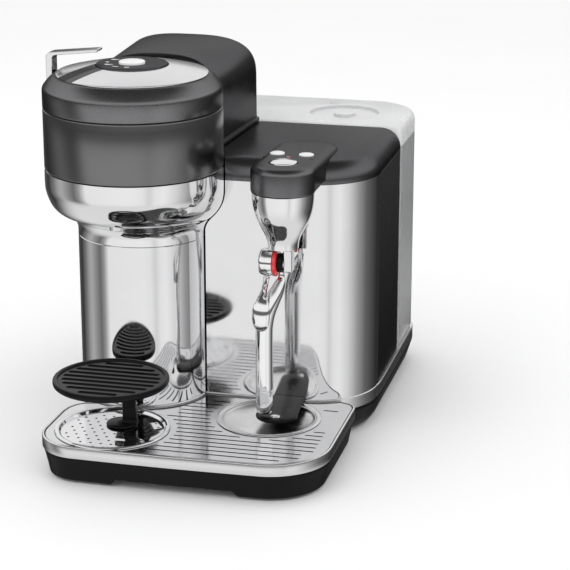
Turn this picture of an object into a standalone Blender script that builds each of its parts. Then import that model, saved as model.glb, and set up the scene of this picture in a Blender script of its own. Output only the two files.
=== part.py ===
"""Pod coffee machine with a spinning brew head, a steam wand, a sliding drip tray and a lift-out tank.

Working units are millimetres, written out in metres. X runs to the right, Y to the back, Z up.
Plan positions are measured from the brew head's vertical axis, and the part's own origin is the
middle of its footprint at the level of its feet.
"""

import math

import bmesh
import bpy

# ---- driving dimensions, mm ----
MM = 0.001
ORIGIN_X, ORIGIN_Y = 57.0, 73.6      # middle of the footprint, from the head axis
GAP = 0.3

HEAD_R = 70.0
BOWL_BOTTOM, BOWL_TOP = 165.0, 223.8
BAND_TOP = 271.8
CAP_TOP = 297.0
DISC_R, DIAL_R = 59.0, 28.0
DISC_TOP = 304.0
COL_X, COL_Y, COL_R = -1.4, 25.4, 52.5

PANEL_Y = 19.0                       # plane of the polished front panel
RIGHT_X, LEFT_X = 182.5, -54.0
CORNER_R = 52.0                      # front right corner of the steam side
BODY_BACK = 156.0
BASE_TOP, BAND_Z0, PANEL_Z0 = 22.0, 22.3, 33.3
PANEL_TOP, COVER_TOP = 211.7, 229.0

TANK_Y0, TANK_Y1 = 158.0, 264.5
TANK_CORNER = 45.0
TANK_TOP = 211.7

TRAY_FRONT, TRAY_LEFT, TRAY_RIGHT = -118.0, -50.5, 175.5
TRAY_TOP = 31.7
CUP_X, CUP_Y = 1.4, -73.6
DISH_X, DISH_Y, DISH_R = 113.8, -22.6, 41.3
SUPPORT_R, SUPPORT_TOP = 45.0, 74.0

STEAM_X, STEAM_Y, STEAM_R = 123.5, -15.0, 25.0
WAND_Z, WAND_X = 157.5, 109.3

HUMP_C, HUMP_BACK, HUMP_TOP = 1.5, 156.5, 301.5

LID_AXIS = (0.0, 63.5, 291.5)
LEVER_AXIS = (-66.0, 4.0, 288.0)

for old in list(bpy.data.objects):
    bpy.data.objects.remove(old, do_unlink=True)


# ---- materials ----
def material(name, colour, rough, metal=0.0, alpha=1.0):
    mat = bpy.data.materials.new(name)
    mat.use_nodes = True
    shader = next(n for n in mat.node_tree.nodes if n.type == "BSDF_PRINCIPLED")
    shader.inputs["Base Color"].default_value = (*colour, 1.0)
    shader.inputs["Roughness"].default_value = rough
    shader.inputs["Metallic"].default_value = metal
    shader.inputs["Alpha"].default_value = alpha
    return mat


def chrome(name):
    return material(name, (0.80, 0.80, 0.81), 0.06, 1.0)


def brushed(name):
    return material(name, (0.62, 0.62, 0.63), 0.28, 1.0)


def dark_steel(name):
    return material(name, (0.07, 0.07, 0.075), 0.38, 0.8)


def black(name, rough=0.45):
    return material(name, (0.02, 0.02, 0.022), rough)


def grey(name):
    return material(name, (0.25, 0.25, 0.26), 0.5)


# ---- outlines ----
def arc(cx, cy, r, a0, a1, n):
    return [(cx + r * math.cos(math.radians(a0 + (a1 - a0) * i / n)),
             cy + r * math.sin(math.radians(a0 + (a1 - a0) * i / n))) for i in range(n + 1)]


def circle(cx, cy, r, n):
    return [(cx + r * math.cos(2 * math.pi * i / n), cy + r * math.sin(2 * math.pi * i / n)) for i in range(n)]


def rounded(x0, x1, y0, y1, radii, n=6):
    """Counter-clockwise rectangle with its own radius at front left, front right, back right, back left."""
    a, b, c, d = radii
    return (arc(x0 + a, y0 + a, a, 180, 270, n) + arc(x1 - b, y0 + b, b, 270, 360, n)
            + arc(x1 - c, y1 - c, c, 0, 90, n) + arc(x0 + d, y1 - d, d, 90, 180, n))


def inset(points, d):
    """Each point moved inward by d along its mitre."""
    out = []
    for i, (x, y) in enumerate(points):
        ax, ay = points[i - 1]
        bx, by = points[(i + 1) % len(points)]
        ux, uy = x - ax, y - ay
        vx, vy = bx - x, by - y
        lu, lv = math.hypot(ux, uy), math.hypot(vx, vy)
        n1, n2 = (-uy / lu, ux / lu), (-vy / lv, vx / lv)
        k = 1 + n1[0] * n2[0] + n1[1] * n2[1]
        out.append((x + d * (n1[0] + n2[0]) / k, y + d * (n1[1] + n2[1]) / k))
    return out


def at(points, z):
    if callable(z):
        return [(x, y, z(x, y)) for x, y in points]
    return [(x, y, z) for x, y in points]


# ---- solids ----
def facing_out(bm):
    bm.normal_update()
    bmesh.ops.recalc_face_normals(bm, faces=bm.faces[:])
    if bm.calc_volume(signed=True) < 0:
        bmesh.ops.reverse_faces(bm, faces=bm.faces[:])
    return bm


def stack(loops, closed=False):
    """Joins rings of equal count, or single points, one above the other; the ends are capped unless it closes on itself."""
    bm = bmesh.new()
    rings = [[bm.verts.new(p) for p in loop] for loop in loops]
    pairs = list(zip(rings, rings[1:])) + ([(rings[-1], rings[0])] if closed else [])
    for a, b in pairs:
        n = max(len(a), len(b))
        for i in range(n):
            j = (i + 1) % n
            if len(a) == 1:
                bm.faces.new((a[0], b[j], b[i]))
            elif len(b) == 1:
                bm.faces.new((a[i], a[j], b[0]))
            else:
                bm.faces.new((a[i], a[j], b[j], b[i]))
    if not closed:
        for end in (rings[0], rings[-1]):
            if len(end) > 2:
                bm.faces.new(end)
    return facing_out(bm)


def turned(cx, cy, profile, n=32, closed=False):
    """A turned shape about a vertical axis from (radius, height) pairs. A flat end becomes one face."""
    if profile[0][0] == 0 and profile[0][1] == profile[1][1]:
        profile = profile[1:]
    if profile[-1][0] == 0 and profile[-1][1] == profile[-2][1]:
        profile = profile[:-1]
    return stack([[(cx, cy, z)] if r == 0 else at(circle(cx, cy, r, n), z) for r, z in profile], closed)


def prism(points, z0, z1, edge=0.0):
    if not edge:
        return stack([at(points, z0), at(points, z1)])
    return stack([at(inset(points, edge), z0), at(points, z0 + edge), at(points, z1 - edge), at(inset(points, edge), z1)])


def block(x0, x1, y0, y1, z0, z1, edge=0.0):
    return prism([(x0, y0), (x1, y0), (x1, y1), (x0, y1)], z0, z1, edge)


def rod(axis, centre, profile, n=16, closed=False):
    """A turned shape about the X or Y axis: profile is (radius, position along the axis)."""
    bm = turned(0, 0, profile, n, closed)
    for v in bm.verts:
        x, y, z = v.co
        v.co = (z, centre[1] + x, centre[2] + y) if axis == "X" else (centre[0] + x, z, centre[2] + y)
    return facing_out(bm)


def swept(path, n=12):
    """A round bar along (x, y, z, radius) stations, its rings square to the path."""
    from mathutils import Vector
    loops = []
    side = None
    for i, (x, y, z, r) in enumerate(path):
        a = Vector(path[max(i - 1, 0)][:3])
        b = Vector(path[min(i + 1, len(path) - 1)][:3])
        t = (b - a).normalized()
        ref = side if side is not None else Vector((1, 0, 0)) if abs(t.x) < 0.9 else Vector((0, 1, 0))
        side = (ref - t * ref.dot(t)).normalized()
        up = t.cross(side)
        loops.append([tuple(Vector((x, y, z)) + (side * math.cos(2 * math.pi * k / n) + up * math.sin(2 * math.pi * k / n)) * r)
                      for k in range(n)])
    return stack(loops)


def joined(*parts):
    """Puts several solids in one mesh; a Boolean or a union makes one body of them."""
    bm = bmesh.new()
    for part in parts:
        mesh = bpy.data.meshes.new("tmp")
        part.to_mesh(mesh)
        bm.from_mesh(mesh)
        bpy.data.meshes.remove(mesh)
    return bm


# ---- objects ----
PIVOTS = {}


def empty(name, pivot, parent=None):
    obj = bpy.data.objects.new(name, None)
    bpy.context.scene.collection.objects.link(obj)
    base = PIVOTS[parent.name] if parent else (ORIGIN_X, ORIGIN_Y, 0.0)
    obj.parent = parent
    obj.location = tuple((p - b) * MM for p, b in zip(pivot, base))
    PIVOTS[name] = pivot
    return obj


def node(name, bm, mat, rig=None, smooth=30.0):
    base = PIVOTS[rig.name] if rig else (ORIGIN_X, ORIGIN_Y, 0.0)
    for v in bm.verts:
        v.co = [(c - b) * MM for c, b in zip(v.co, base)]
    mesh = bpy.data.meshes.new(name)
    bm.to_mesh(mesh)
    bm.free()
    obj = bpy.data.objects.new(name, mesh)
    bpy.context.scene.collection.objects.link(obj)
    if mat:
        mesh.materials.append(mat)
    obj.parent = rig
    if smooth:
        mesh.shade_smooth()
        mesh.set_sharp_from_angle(angle=math.radians(smooth))
    return obj


def boolean(obj, bm, operation="DIFFERENCE", rig=None):
    name = f"cutter_{obj.name}_{len(obj.modifiers)}"
    tool = node(name, bm, None, rig, smooth=0)
    tool.hide_render = True
    tool.display_type = "WIRE"
    mod = obj.modifiers.new(name, "BOOLEAN")
    mod.operation = operation
    mod.object = tool
    return obj


# ---- shared outlines ----
def body_outline():
    """Footprint of the rear body: round at the column, square at the panel, a big radius at the right."""
    pts = arc(COL_X, COL_Y, COL_R, 180, 353, 16)
    pts += [(80.0, PANEL_Y)]
    pts += arc(RIGHT_X - CORNER_R, PANEL_Y + CORNER_R, CORNER_R, 270, 360, 8)
    return pts


def base_outline():
    """The base under the rear body and the tank, standing 1.5 mm proud of them at the right and back."""
    pts = body_outline()[:-1]
    pts += [(RIGHT_X + 0.6, PANEL_Y + CORNER_R), (RIGHT_X + 1.5, PANEL_Y + CORNER_R + 12)]
    pts += arc(RIGHT_X + 1.5 - TANK_CORNER, 265.5 - TANK_CORNER, TANK_CORNER, 0, 90, 6)
    pts += arc(LEFT_X + 20, 265.5 - 20, 20, 90, 180, 4)
    return pts


def tray_outline():
    pts = arc(TRAY_LEFT + 34, TRAY_FRONT + 34, 34, 180, 270, 7)
    pts += [(20.0, TRAY_FRONT - 0.9), (55.0, TRAY_FRONT - 1.3), (90.0, TRAY_FRONT - 0.9)]
    pts += arc(TRAY_RIGHT - 48, TRAY_FRONT + 48, 48, 270, 360, 8)
    pts += arc(TRAY_RIGHT - 12, 13.0, 12, 0, 70, 4)
    pts += arc(RIGHT_X - CORNER_R, PANEL_Y + CORNER_R, CORNER_R + 1.5, -56, -90, 4)
    pts += arc(COL_X, COL_Y, COL_R + 0.5, -8.5, -118, 12)
    pts += [(-32.0, -22.6), (-39.0, -24.6), (-44.6, -29.6), (-48.6, -37.0), (-50.2, -46.0)]
    return pts


def stadium(r, y0, y1, n=10):
    """Plan shape of the steam head: parallel sides with a round front and a round back."""
    return arc(STEAM_X, y0, r, 180, 360, n) + arc(STEAM_X, y1, r, 0, 180, n)


def bowl_rings(grow=0.0):
    """(shift towards the column, radius, height): a round bowl that runs into the column's circle."""
    shape = [(1.0, 52.5, BOWL_BOTTOM), (1.0, 52.5, 170.5), (1.0, 54.2, 175.0), (0.97, 57.4, 179.5), (0.72, 60.6, 183.5),
             (0.46, 64.0, 188.0), (0.29, 67.1, 193.5), (0.17, 69.0, 200.0), (0.0, 70.0, 210.0), (0.0, 70.0, BOWL_TOP)]
    return [(COL_X * t, COL_Y * t, r + grow, z) for t, r, z in shape]


def bowl(grow, n=48):
    return [at(circle(x, y, r, n), z) for x, y, r, z in bowl_rings(grow)]


def hump_arch(y, wide, top, base, flange=0.0):
    """Cross-section of the hood over the capsule container: upright sides and a broad arched top."""
    pts = [(HUMP_C - wide - flange, base), (HUMP_C + wide + flange, base)]
    if flange:
        pts.append((HUMP_C + wide + flange, base + 3.4))
    for i in range(19):
        a = math.radians(180 * i / 18)
        c, h = math.cos(a), math.sin(a)
        pts.append((HUMP_C + wide * math.copysign(abs(c) ** 0.66, c), 266.0 + (top - 266.0) * h ** 0.66))
    if flange:
        pts.append((HUMP_C - wide - flange, base + 3.4))
    return [(x, y, z) for x, z in pts]


# ---- base ----
RIG_TRAY = empty("tray_slide", (55.0, -50.0, 15.0))
outline = base_outline()
base = node("base_pan", stack([at(inset(outline, 7.5), 2.3), at(inset(outline, 6.0), 3.6), at(inset(outline, 1.0), 19.0), at(outline, BASE_TOP),
                               at(inset(outline, 4.0), BASE_TOP), at(inset(outline, 12.0), 6.5)]), black("black base"))
boolean(base, block(-12.0, 150.0, -94.0, 90.0, 2.4, 6.4), "UNION")
FEET = {"foot_front_left": (2.0, -84.0), "foot_front_right": (136.0, -84.0), "foot_rear_left": (-30.0, 240.0), "foot_rear_right": (140.0, 225.0)}
for name, (x, y) in FEET.items():
    node(name, turned(x, y, [(0, 0), (7.5, 0), (8.5, 1.0), (8.5, 2.0), (0, 2.0)], 20), black(name + " rubber", 0.8))
node("base_band", stack([at(outline, BAND_Z0), at(outline, PANEL_Z0 - GAP), at(inset(outline, 8.0), PANEL_Z0 - GAP), at(inset(outline, 8.0), BAND_Z0)],
                        closed=True), brushed("base band steel"))
gland = node("cord_gland", rod("Y", (-28.0, 0, 12.5), [(0, 262.0), (5.5, 262.0), (5.5, 265.0), (4.2, 266.5), (2.4, 266.5), (2.4, 263.0), (0, 263.0)], 16),
             black("gland rubber", 0.7))
boolean(base, rod("Y", (-28.0, 0, 12.5), [(0, 261.5), (5.9, 261.5), (5.9, 272.0), (0, 272.0)], 16))

# ---- rear body skins ----
def skin(points, z0, z1, t):
    """An open strip of sheet following points, t thick towards the left of their direction."""
    def side(i):
        ax, ay = points[max(i - 1, 0)]
        bx, by = points[min(i + 1, len(points) - 1)]
        k = math.hypot(bx - ax, by - ay)
        return points[i][0] - (by - ay) / k * t, points[i][1] + (bx - ax) / k * t
    inner = [side(i) for i in range(len(points))]
    loop = points + inner[::-1]
    return stack([at(loop, z0), at(loop, z1)])


corner = arc(RIGHT_X - CORNER_R, PANEL_Y + CORNER_R, CORNER_R, 270, 360, 12)
front = node("front_panel", skin([(51.6, PANEL_Y), (90.0, PANEL_Y)] + corner, PANEL_Z0, PANEL_TOP - GAP, 2.0), chrome("polished panel"))
boolean(front, stack(bowl(0.8, 24)))
node("side_panel_right", skin([(RIGHT_X, PANEL_Y + CORNER_R + 0.5), (RIGHT_X, BODY_BACK)], PANEL_Z0, PANEL_TOP - GAP, 3.0), black("side strip"))
left = node("side_panel_left", skin([(LEFT_X, BODY_BACK), (LEFT_X, 42.6)], PANEL_Z0, PANEL_TOP - GAP, 2.5), dark_steel("left side"))
boolean(left, stack(bowl(0.8, 24)))
node("rear_panel", block(LEFT_X + 3.0, RIGHT_X - 3.5, BODY_BACK - 2.5, BODY_BACK - 0.2, PANEL_Z0, PANEL_TOP - GAP), grey("rear bulkhead"))
cover_side = body_outline() + [(RIGHT_X, BODY_BACK), (LEFT_X, BODY_BACK)]


def cover_rings(grow=0.0):
    """The cover's shoulder rolls over at the front and right; its back and left sides stay square."""
    edge = [(0.0, PANEL_TOP), (0.0, 214.5), (1.2, 219.0), (4.5, 224.0), (9.5, 227.6), (16.0, COVER_TOP)]
    loops = []
    for d, z in edge:
        ring = []
        for (x, y), (ix, iy) in zip(cover_side, inset(cover_side, max(d, 0.001))):
            rolls = x > 60
            ring.append((min(ix, RIGHT_X - d) + grow if rolls else x, iy - grow if rolls and y < 100 else y,
                         z + (grow if z > PANEL_TOP else -grow)))
        loops.append(ring)
    return loops


cover = node("top_cover", stack(cover_rings()), dark_steel("cover plastic"))
boolean(cover, stack([at(inset(cover_side, 3.0), PANEL_TOP - 1), at(inset(cover_side, 5.0), 220.0), at(inset(cover_side, 12.0), 225.5)]))
boolean(cover, turned(0, 0, [(0, 190), (HEAD_R + 1.0, 190), (HEAD_R + 1.0, 240), (0, 240)], 28))
boolean(cover, block(-44.0, 44.0, 78.0, 146.0, 200.0, 240.0))

# ---- column and brew head ----
node("column_tube", turned(COL_X, COL_Y, [(COL_R, PANEL_Z0), (COL_R, BOWL_BOTTOM - GAP), (COL_R - 2.0, BOWL_BOTTOM - GAP), (COL_R - 2.0, PANEL_Z0)], 28, True),
     chrome("polished column"))
shell = bowl_rings()
node("brew_bowl", stack([at(circle(x, y, r, 32), z) for x, y, r, z in shell] + [at(circle(x, y, r - 2.6, 32), z) for x, y, r, z in (shell[-1], shell[6], shell[4], shell[2], shell[0])], True), chrome("polished bowl"))
boolean(bpy.data.objects["brew_bowl"], turned(0, -46.0, [(0, 170), (6.0, 170), (6.0, 206), (0, 206)], 16))
node("coffee_outlet", turned(0, -46.0, [(5.6, 184.0), (5.6, 207.0), (3.6, 207.0), (3.6, 184.0)], 16, True), black("outlet"))
node("head_band", turned(0, 0, [(68.6, 224.1), (HEAD_R, 226.4), (HEAD_R, 270.2), (69.2, BAND_TOP), (64.0, BAND_TOP), (64.0, 224.1)], 32, True), dark_steel("dark brushed band"))
node("brew_chamber", turned(0, 0, [(8.4, 226.0), (61.0, 226.0), (61.0, 264.0), (57.5, 264.0), (57.5, 230.0), (8.4, 230.0)], 24, True), grey("chamber"))
node("rotor_bearing", turned(0, 0, [(5.3, 226.2), (8.1, 226.2), (8.1, 233.0), (5.3, 233.0)], 20, True), brushed("bearing steel"))
node("brew_motor", turned(0, 0, [(0, 190.0), (21.0, 190.0), (23.0, 192.0), (23.0, 218.0), (21.0, 220.0), (5.6, 220.0), (5.6, 206.0), (0, 206.0)], 24), grey("motor"))

RIG_ROTOR = empty("rotor_axis", (0.0, 0.0, 235.0))
node("spindle", turned(0, 0, [(0, 207.0), (4.9, 207.0), (4.9, 233.5), (0, 233.5)], 16), brushed("spindle steel"), RIG_ROTOR)
holder = node("capsule_holder", turned(0, 0, [(0, 234.0), (14.0, 234.0), (30.0, 243.0), (33.0, 258.0), (38.0, 260.0), (38.0, 263.0), (31.0, 263.0), (28.0, 245.0),
                                      (13.0, 237.0), (0, 237.0)], 20), grey("holder plastic"), RIG_ROTOR)

# ---- lid ----
RIG_LID = empty("lid_hinge", LID_AXIS)
REAR_CUT = 59.6
cap = node("lid_cap", turned(0, 0, [(69.2, 272.1), (HEAD_R, 273.2), (HEAD_R, 285.5), (69.0, 288.6), (65.6, 293.0), (62.0, 296.0), (59.6, CAP_TOP), (31.0, CAP_TOP),
                              (31.0, 293.5), (62.0, 293.5), (66.5, 286.0), (66.5, 272.1)], 32, True), black("cap", 0.4), RIG_LID)
boolean(cap, block(-80, 80, REAR_CUT, 90, 265, 300), "DIFFERENCE", RIG_LID)
boolean(cap, joined(block(-7.5, 7.5, 50.0, 63.5, 288.7, 294.3)), "UNION", RIG_LID)
boolean(cap, rod("X", LID_AXIS, [(0, -7.5), (2.8, -7.5), (2.8, 7.5), (0, 7.5)], 16), "UNION", RIG_LID)
boolean(cap, rod("X", LID_AXIS, [(0, -20), (1.45, -20), (1.45, 20), (0, 20)], 12), "DIFFERENCE", RIG_LID)
boolean(cap, block(-73.0, -62.5, -2.6, 10.6, 283.0, 300.0), "DIFFERENCE", RIG_LID)
disc = node("lid_disc", turned(0, 0, [(DISC_R, CAP_TOP + GAP), (DISC_R, 298.2), (DIAL_R + 0.6, DISC_TOP), (DIAL_R + 0.6, 301.8), (30.0, CAP_TOP + GAP)], 32, True), chrome("polished disc"), RIG_LID)
INLAY_TURN = math.radians(237)


def inlay_cutter(s0, s1, n0, n1, drop):
    """A shallow recess that follows the cone of the disc, from the dial out towards the front left."""
    c, s, loops = math.cos(INLAY_TURN), math.sin(INLAY_TURN), []
    for i in range(5):
        along = s0 + (s1 - s0) * i / 4
        side = [n0 + (n1 - n0) * k / 6 for k in range(7)]
        floor = [(along * c - n * s, along * s + n * c, 298.2 + (DISC_R - math.hypot(along, n)) * 5.8 / 30.4 - drop) for n in side]
        loops.append([(floor[0][0], floor[0][1], 309.0)] + floor + [(floor[-1][0], floor[-1][1], 309.0)])
    return stack(loops)


boolean(disc, inlay_cutter(16.0, 62.0, -21.0, 1.2, 0.5), "DIFFERENCE", RIG_LID)
panel = node("control_panel", turned(0, 0, [(0, 297.5), (DIAL_R, 297.5), (DIAL_R, 304.6), (DIAL_R - 0.7, 305.3), (10.8, 305.3), (10.8, 300.5), (0, 300.5)], 24), black("dial", 0.3), RIG_LID)
RIG_BREW = empty("brew_button_slide", (0.0, 0.0, 306.0), RIG_LID)
node("brew_button", turned(0, 0, [(0, 302.5), (10.2, 302.5), (10.2, 306.4), (9.4, 306.9), (0, 307.1)], 28), chrome("button chrome"), RIG_BREW)
RIG_INJ = empty("injector_axis", (0.0, 0.0, 270.0), RIG_LID)
node("piercing_plate", turned(0, 0, [(0, 257.0), (1.2, 258.0), (3.0, 266.0), (29.0, 266.0), (29.0, 269.0), (5.0, 269.0), (5.0, 291.0), (0, 291.0)], 24), grey("injector"), RIG_INJ)

# the lever: an upright leg at the left side and an arm over the disc
RIG_LEVER = empty("lever_hinge", LEVER_AXIS, RIG_LID)
LEVER_SECTION = [(-69.9, 285.6), (-64.6, 285.6), (-64.6, 306.0), (-63.6, 308.4), (-27.5, 312.4), (-27.0, 314.8), (-67.0, 310.7), (-69.2, 309.7), (-69.9, 307.6)]
lever = node("lid_lever", stack([[(x, y, z) for x, z in LEVER_SECTION] for y in (-2.0, 10.0)]), chrome("lever chrome"), RIG_LEVER)
boolean(lever, rod("Y", (-66.0, 0, 288.0), [(0, -10), (0.85, -10), (0.85, 20), (0, 20)], 10), "DIFFERENCE", RIG_LEVER)
node("lever_pin", rod("Y", (-66.0, 0, 288.0), [(0, -6.0), (0.8, -6.0), (0.8, 14.0), (0, 14.0)], 10), brushed("pin steel"), RIG_LID)
boolean(cap, rod("Y", (-66.0, 0, 288.0), [(0, -6.4), (1.1, -6.4), (1.1, 14.4), (0, 14.4)], 10), "DIFFERENCE", RIG_LID)
boolean(cap, joined(block(-62.9, -60.0, -5.0, 13.0, 286.0, 294.0)), "UNION", RIG_LID)

housing = node("hinge_housing", turned(0, 0, [(55.0, 272.1), (HEAD_R, 272.1), (HEAD_R, 286.0), (68.6, 291.0), (66.6, 295.0), (55.0, 295.0)], 32, True), black("housing", 0.4))
boolean(housing, block(-90, 90, -90, REAR_CUT + 0.5, 260, 300))
boolean(housing, block(-8.2, 8.2, 50, 67.2, 287.6, 300))
boolean(housing, stack([[(x, y, z) for y, z in [(50.0, 291.5), (60.0, 291.5)] + arc(63.5, 291.5, 3.5, 180, 90, 4)[1:] + [(63.5, 303.0), (50.0, 303.0)]] for x in (-80.0, 80.0)]))
boolean(housing, rod("X", LID_AXIS, [(0, -24.3), (1.5, -24.3), (1.5, 24.3), (0, 24.3)], 12))
node("hinge_pin", rod("X", LID_AXIS, [(0, -24), (1.2, -24), (1.2, 24), (0, 24)], 12), brushed("hinge pin steel"))

# ---- capsule container: a bucket with a domed hood, lifted out together ----
RIG_CONT = empty("container_slide", (0.0, 112.0, 230.0))
hood = node("container_hood", stack([hump_arch(20.0, 51.0, 298.5, COVER_TOP + 1.0, 2.5), hump_arch(153.0, 57.5, HUMP_TOP, COVER_TOP + 1.0, 2.5),
                                     hump_arch(155.4, 56.8, HUMP_TOP - 0.8, COVER_TOP + 1.0, 2.2), hump_arch(HUMP_BACK, 55.2, HUMP_TOP - 2.4, COVER_TOP + 1.0, 1.5)]),
            dark_steel("hood"), RIG_CONT)
boolean(hood, turned(0, 0, [(0, 200), (HEAD_R + 1.4, 200), (HEAD_R + 1.4, 320), (0, 320)], 32), "DIFFERENCE", RIG_CONT)
boolean(hood, stack([hump_arch(80.0, 49.8, 296.0, 205.0), hump_arch(152.0, 53.3, 297.4, 205.0)]), "DIFFERENCE", RIG_CONT)
bucket = node("capsule_container", stack([at(rounded(-40, 40, 84, 142, (8, 8, 8, 8), 3), 130.0), at(rounded(-42, 42, 81, 145, (8, 8, 8, 8), 3), 229.6),
                                          at(rounded(-48, 48, 81, 150, (8, 8, 8, 8), 3), 229.6), at(rounded(-48, 48, 81, 150, (8, 8, 8, 8), 3), 232.0),
                                          at(rounded(-40, 40, 83, 143, (8, 8, 8, 8), 3), 232.0), at(rounded(-38, 38, 86, 140, (8, 8, 8, 8), 3), 132.5)]), grey("bucket"), RIG_CONT)

# ---- water tank ----
RIG_TANK = empty("tank_slide", (64.0, 211.0, 120.0))


def tank_outline(d=0.0):
    return rounded(LEFT_X + 1 + d, RIGHT_X - d, TANK_Y0 + d, TANK_Y1 - d, (6 - min(d, 5), 6 - min(d, 5), TANK_CORNER - d, 20 - d), 7)


tank = node("water_tank", stack([at(tank_outline(1.5), 34.0), at(tank_outline(0.0), 36.0), at(tank_outline(0.0), TANK_TOP), at(tank_outline(2.5), TANK_TOP),
                                 at(tank_outline(2.5), 38.0)]), material("tank plastic", (0.55, 0.57, 0.59), 0.15, 0.0, 0.45), RIG_TANK)
boolean(tank, turned(60.0, 200.0, [(0, 20), (7.0, 20), (7.0, 60), (0, 60)], 20), "DIFFERENCE", RIG_TANK)
node("tank_valve", turned(60.0, 200.0, [(0, 34.6), (6.7, 34.6), (6.7, 38.2), (10.0, 38.2), (10.0, 40.5), (4.0, 42.0), (0, 42.0)], 20), black("valve", 0.6), RIG_TANK)
node("valve_seat", turned(60.0, 200.0, [(0, 7.0), (12.0, 7.0), (12.0, 33.0), (8.0, 33.6), (4.0, 33.6), (4.0, 20.0), (0, 20.0)], 20), black("seat rubber", 0.7))
RIG_TLID = empty("tank_lid_slide", (64.0, 211.0, 215.0), RIG_TANK)
tlid = node("tank_lid", stack([at(tank_outline(0.0), TANK_TOP + GAP), at(tank_outline(0.0), 222.5), at(tank_outline(1.5), 226.4), at(tank_outline(4.2), 228.4),
                               at(tank_outline(5.0), COVER_TOP), at(tank_outline(4.99), COVER_TOP)][:5]), material("tank lid", (0.5, 0.51, 0.53), 0.3), RIG_TLID)
boolean(tlid, stack([at(tank_outline(2.5), 205.0), at(tank_outline(2.5), 222.0), at(tank_outline(5.5), 224.8)]), "DIFFERENCE", RIG_TLID)
boolean(tlid, turned(124.0, 206.0, [(9.0, 226.6), (30.0, 226.6), (30.0, 240.0), (9.0, 240.0)], 28, True), "DIFFERENCE", RIG_TLID)

# ---- works inside ----
node("pump", rod("Y", (152.0, 0, 60.0), [(0, 84), (9, 84), (9, 92), (19, 92), (19, 134), (9, 134), (9, 146), (0, 146)], 20), brushed("pump steel"))
node("thermoblock", block(62.0, 122.0, 92.0, 128.0, 70.0, 140.0, 3.0), material("cast aluminium", (0.6, 0.6, 0.6), 0.5, 0.9))
node("steam_boiler", turned(146.0, 62.0, [(0, 96.0), (20.0, 96.0), (25.0, 101.0), (25.0, 176.0), (20.0, 181.0), (6.0, 181.0), (6.0, 190.0), (0, 190.0)], 24), brushed("boiler steel"))
node("control_board", block(70.0, 140.0, 148.0, 149.6, 60.0, 170.0), material("board green", (0.02, 0.2, 0.08), 0.5))
node("flow_meter", turned(88.0, 70.0, [(0, 40.0), (14.0, 40.0), (14.0, 54.0), (5.0, 54.0), (5.0, 62.0), (0, 62.0)], 20), grey("flow meter"))

# ---- steam head ----
def steam_top(x, y):
    return 236.6 - (y + 40.0) / 130.0 * 4.4


top = node("steam_head_cap", stack([at(stadium(24.6, STEAM_Y, 65.0), 214.9), at(stadium(STEAM_R, STEAM_Y, 65.0), 216.0), at(stadium(STEAM_R, STEAM_Y, 65.0), lambda x, y: steam_top(x, y) - 5.2),
                                    at(stadium(STEAM_R - 1.2, STEAM_Y, 65.0), lambda x, y: steam_top(x, y) - 2.4), at(stadium(STEAM_R - 4.6, STEAM_Y, 65.0), lambda x, y: steam_top(x, y) - 0.3),
                                    at(stadium(STEAM_R - 7.5, STEAM_Y, 65.0), steam_top)]), dark_steel("steam cap"))
boolean(top, stack(cover_rings(0.35)))
BUTTONS = {"steam_button_large": (122.3, -9.2, 10.8), "steam_button_left": (109.6, 23.0, 6.0), "steam_button_right": (132.8, 23.0, 6.0)}
wells = []
for name, (x, y, r) in BUTTONS.items():
    z = steam_top(x, y)
    boolean(top, turned(x, y, [(0, z - 3.6), (r + 0.5, z - 3.6), (r + 0.5, z + 5), (0, z + 5)], 24))
    rig = empty(name + "_slide", (x, y, z))
    node(name, turned(x, y, [(0, z - 2.1), (r, z - 2.1), (r, z + 0.3), (r - 0.8, z + 1.0), (0, z + 1.3)], 24), chrome(name + " chrome"), rig)
node("steam_head_bowl", turned(STEAM_X, STEAM_Y, [(0, 170.0), (12.0, 170.0), (12.2, 174.0), (14.0, 180.0), (17.8, 187.0), (21.4, 194.0), (23.6, 203.0), (24.4, 214.6), (20.0, 214.6), (20.0, 204.0), (0, 190.0)], 24), chrome("steam bowl"))
fork = node("wand_fork", block(124.6, 131.6, -20.4, -9.6, 151.0, 169.7, 1.0), chrome("fork"))
boolean(fork, rod("X", (0, STEAM_Y, WAND_Z), [(0, 110), (3.9, 110), (3.9, 129.5), (0, 129.5)], 16))

RIG_WAND = empty("wand_hinge", (120.0, STEAM_Y, WAND_Z))
node("wand_barrel", rod("X", (0, STEAM_Y, WAND_Z), [(0, 105.6), (9.2, 105.6), (10.4, 107.0), (10.6, 116.6), (3.7, 116.6), (3.7, 129.0), (0, 129.0)], 24), chrome("barrel"), RIG_WAND)
node("wand_disc", rod("X", (0, STEAM_Y, WAND_Z), [(4.0, 116.9), (10.6, 116.9), (11.0, 118.2), (10.2, 119.6), (4.0, 119.6)], 28, True), material("red disc", (0.65, 0.02, 0.03), 0.3), RIG_WAND)
WAND_PATH = [(122.3, -15.0, 150.8, 2.3), (122.3, -15.3, 146.3, 2.6), (122.0, -16.8, 142.4, 4.2), (120.0, -20.0, 136.0, 5.6), (117.0, -24.0, 129.0, 6.4),
             (114.2, -27.4, 121.0, 6.7), (112.6, -29.2, 112.0, 6.8), (112.2, -29.6, 104.0, 6.8), (112.2, -29.6, 42.0, 6.8), (112.2, -29.6, 39.4, 6.3), (112.2, -29.6, 38.4, 5.0)]
tube = node("wand_tube", swept(WAND_PATH, 12), chrome("wand"), RIG_WAND)
boolean(tube, rod("X", (0, STEAM_Y, WAND_Z), [(4.0, 119.9), (7.6, 119.9), (7.6, 124.2), (4.0, 124.2)], 16, True), "UNION", RIG_WAND)
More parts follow.
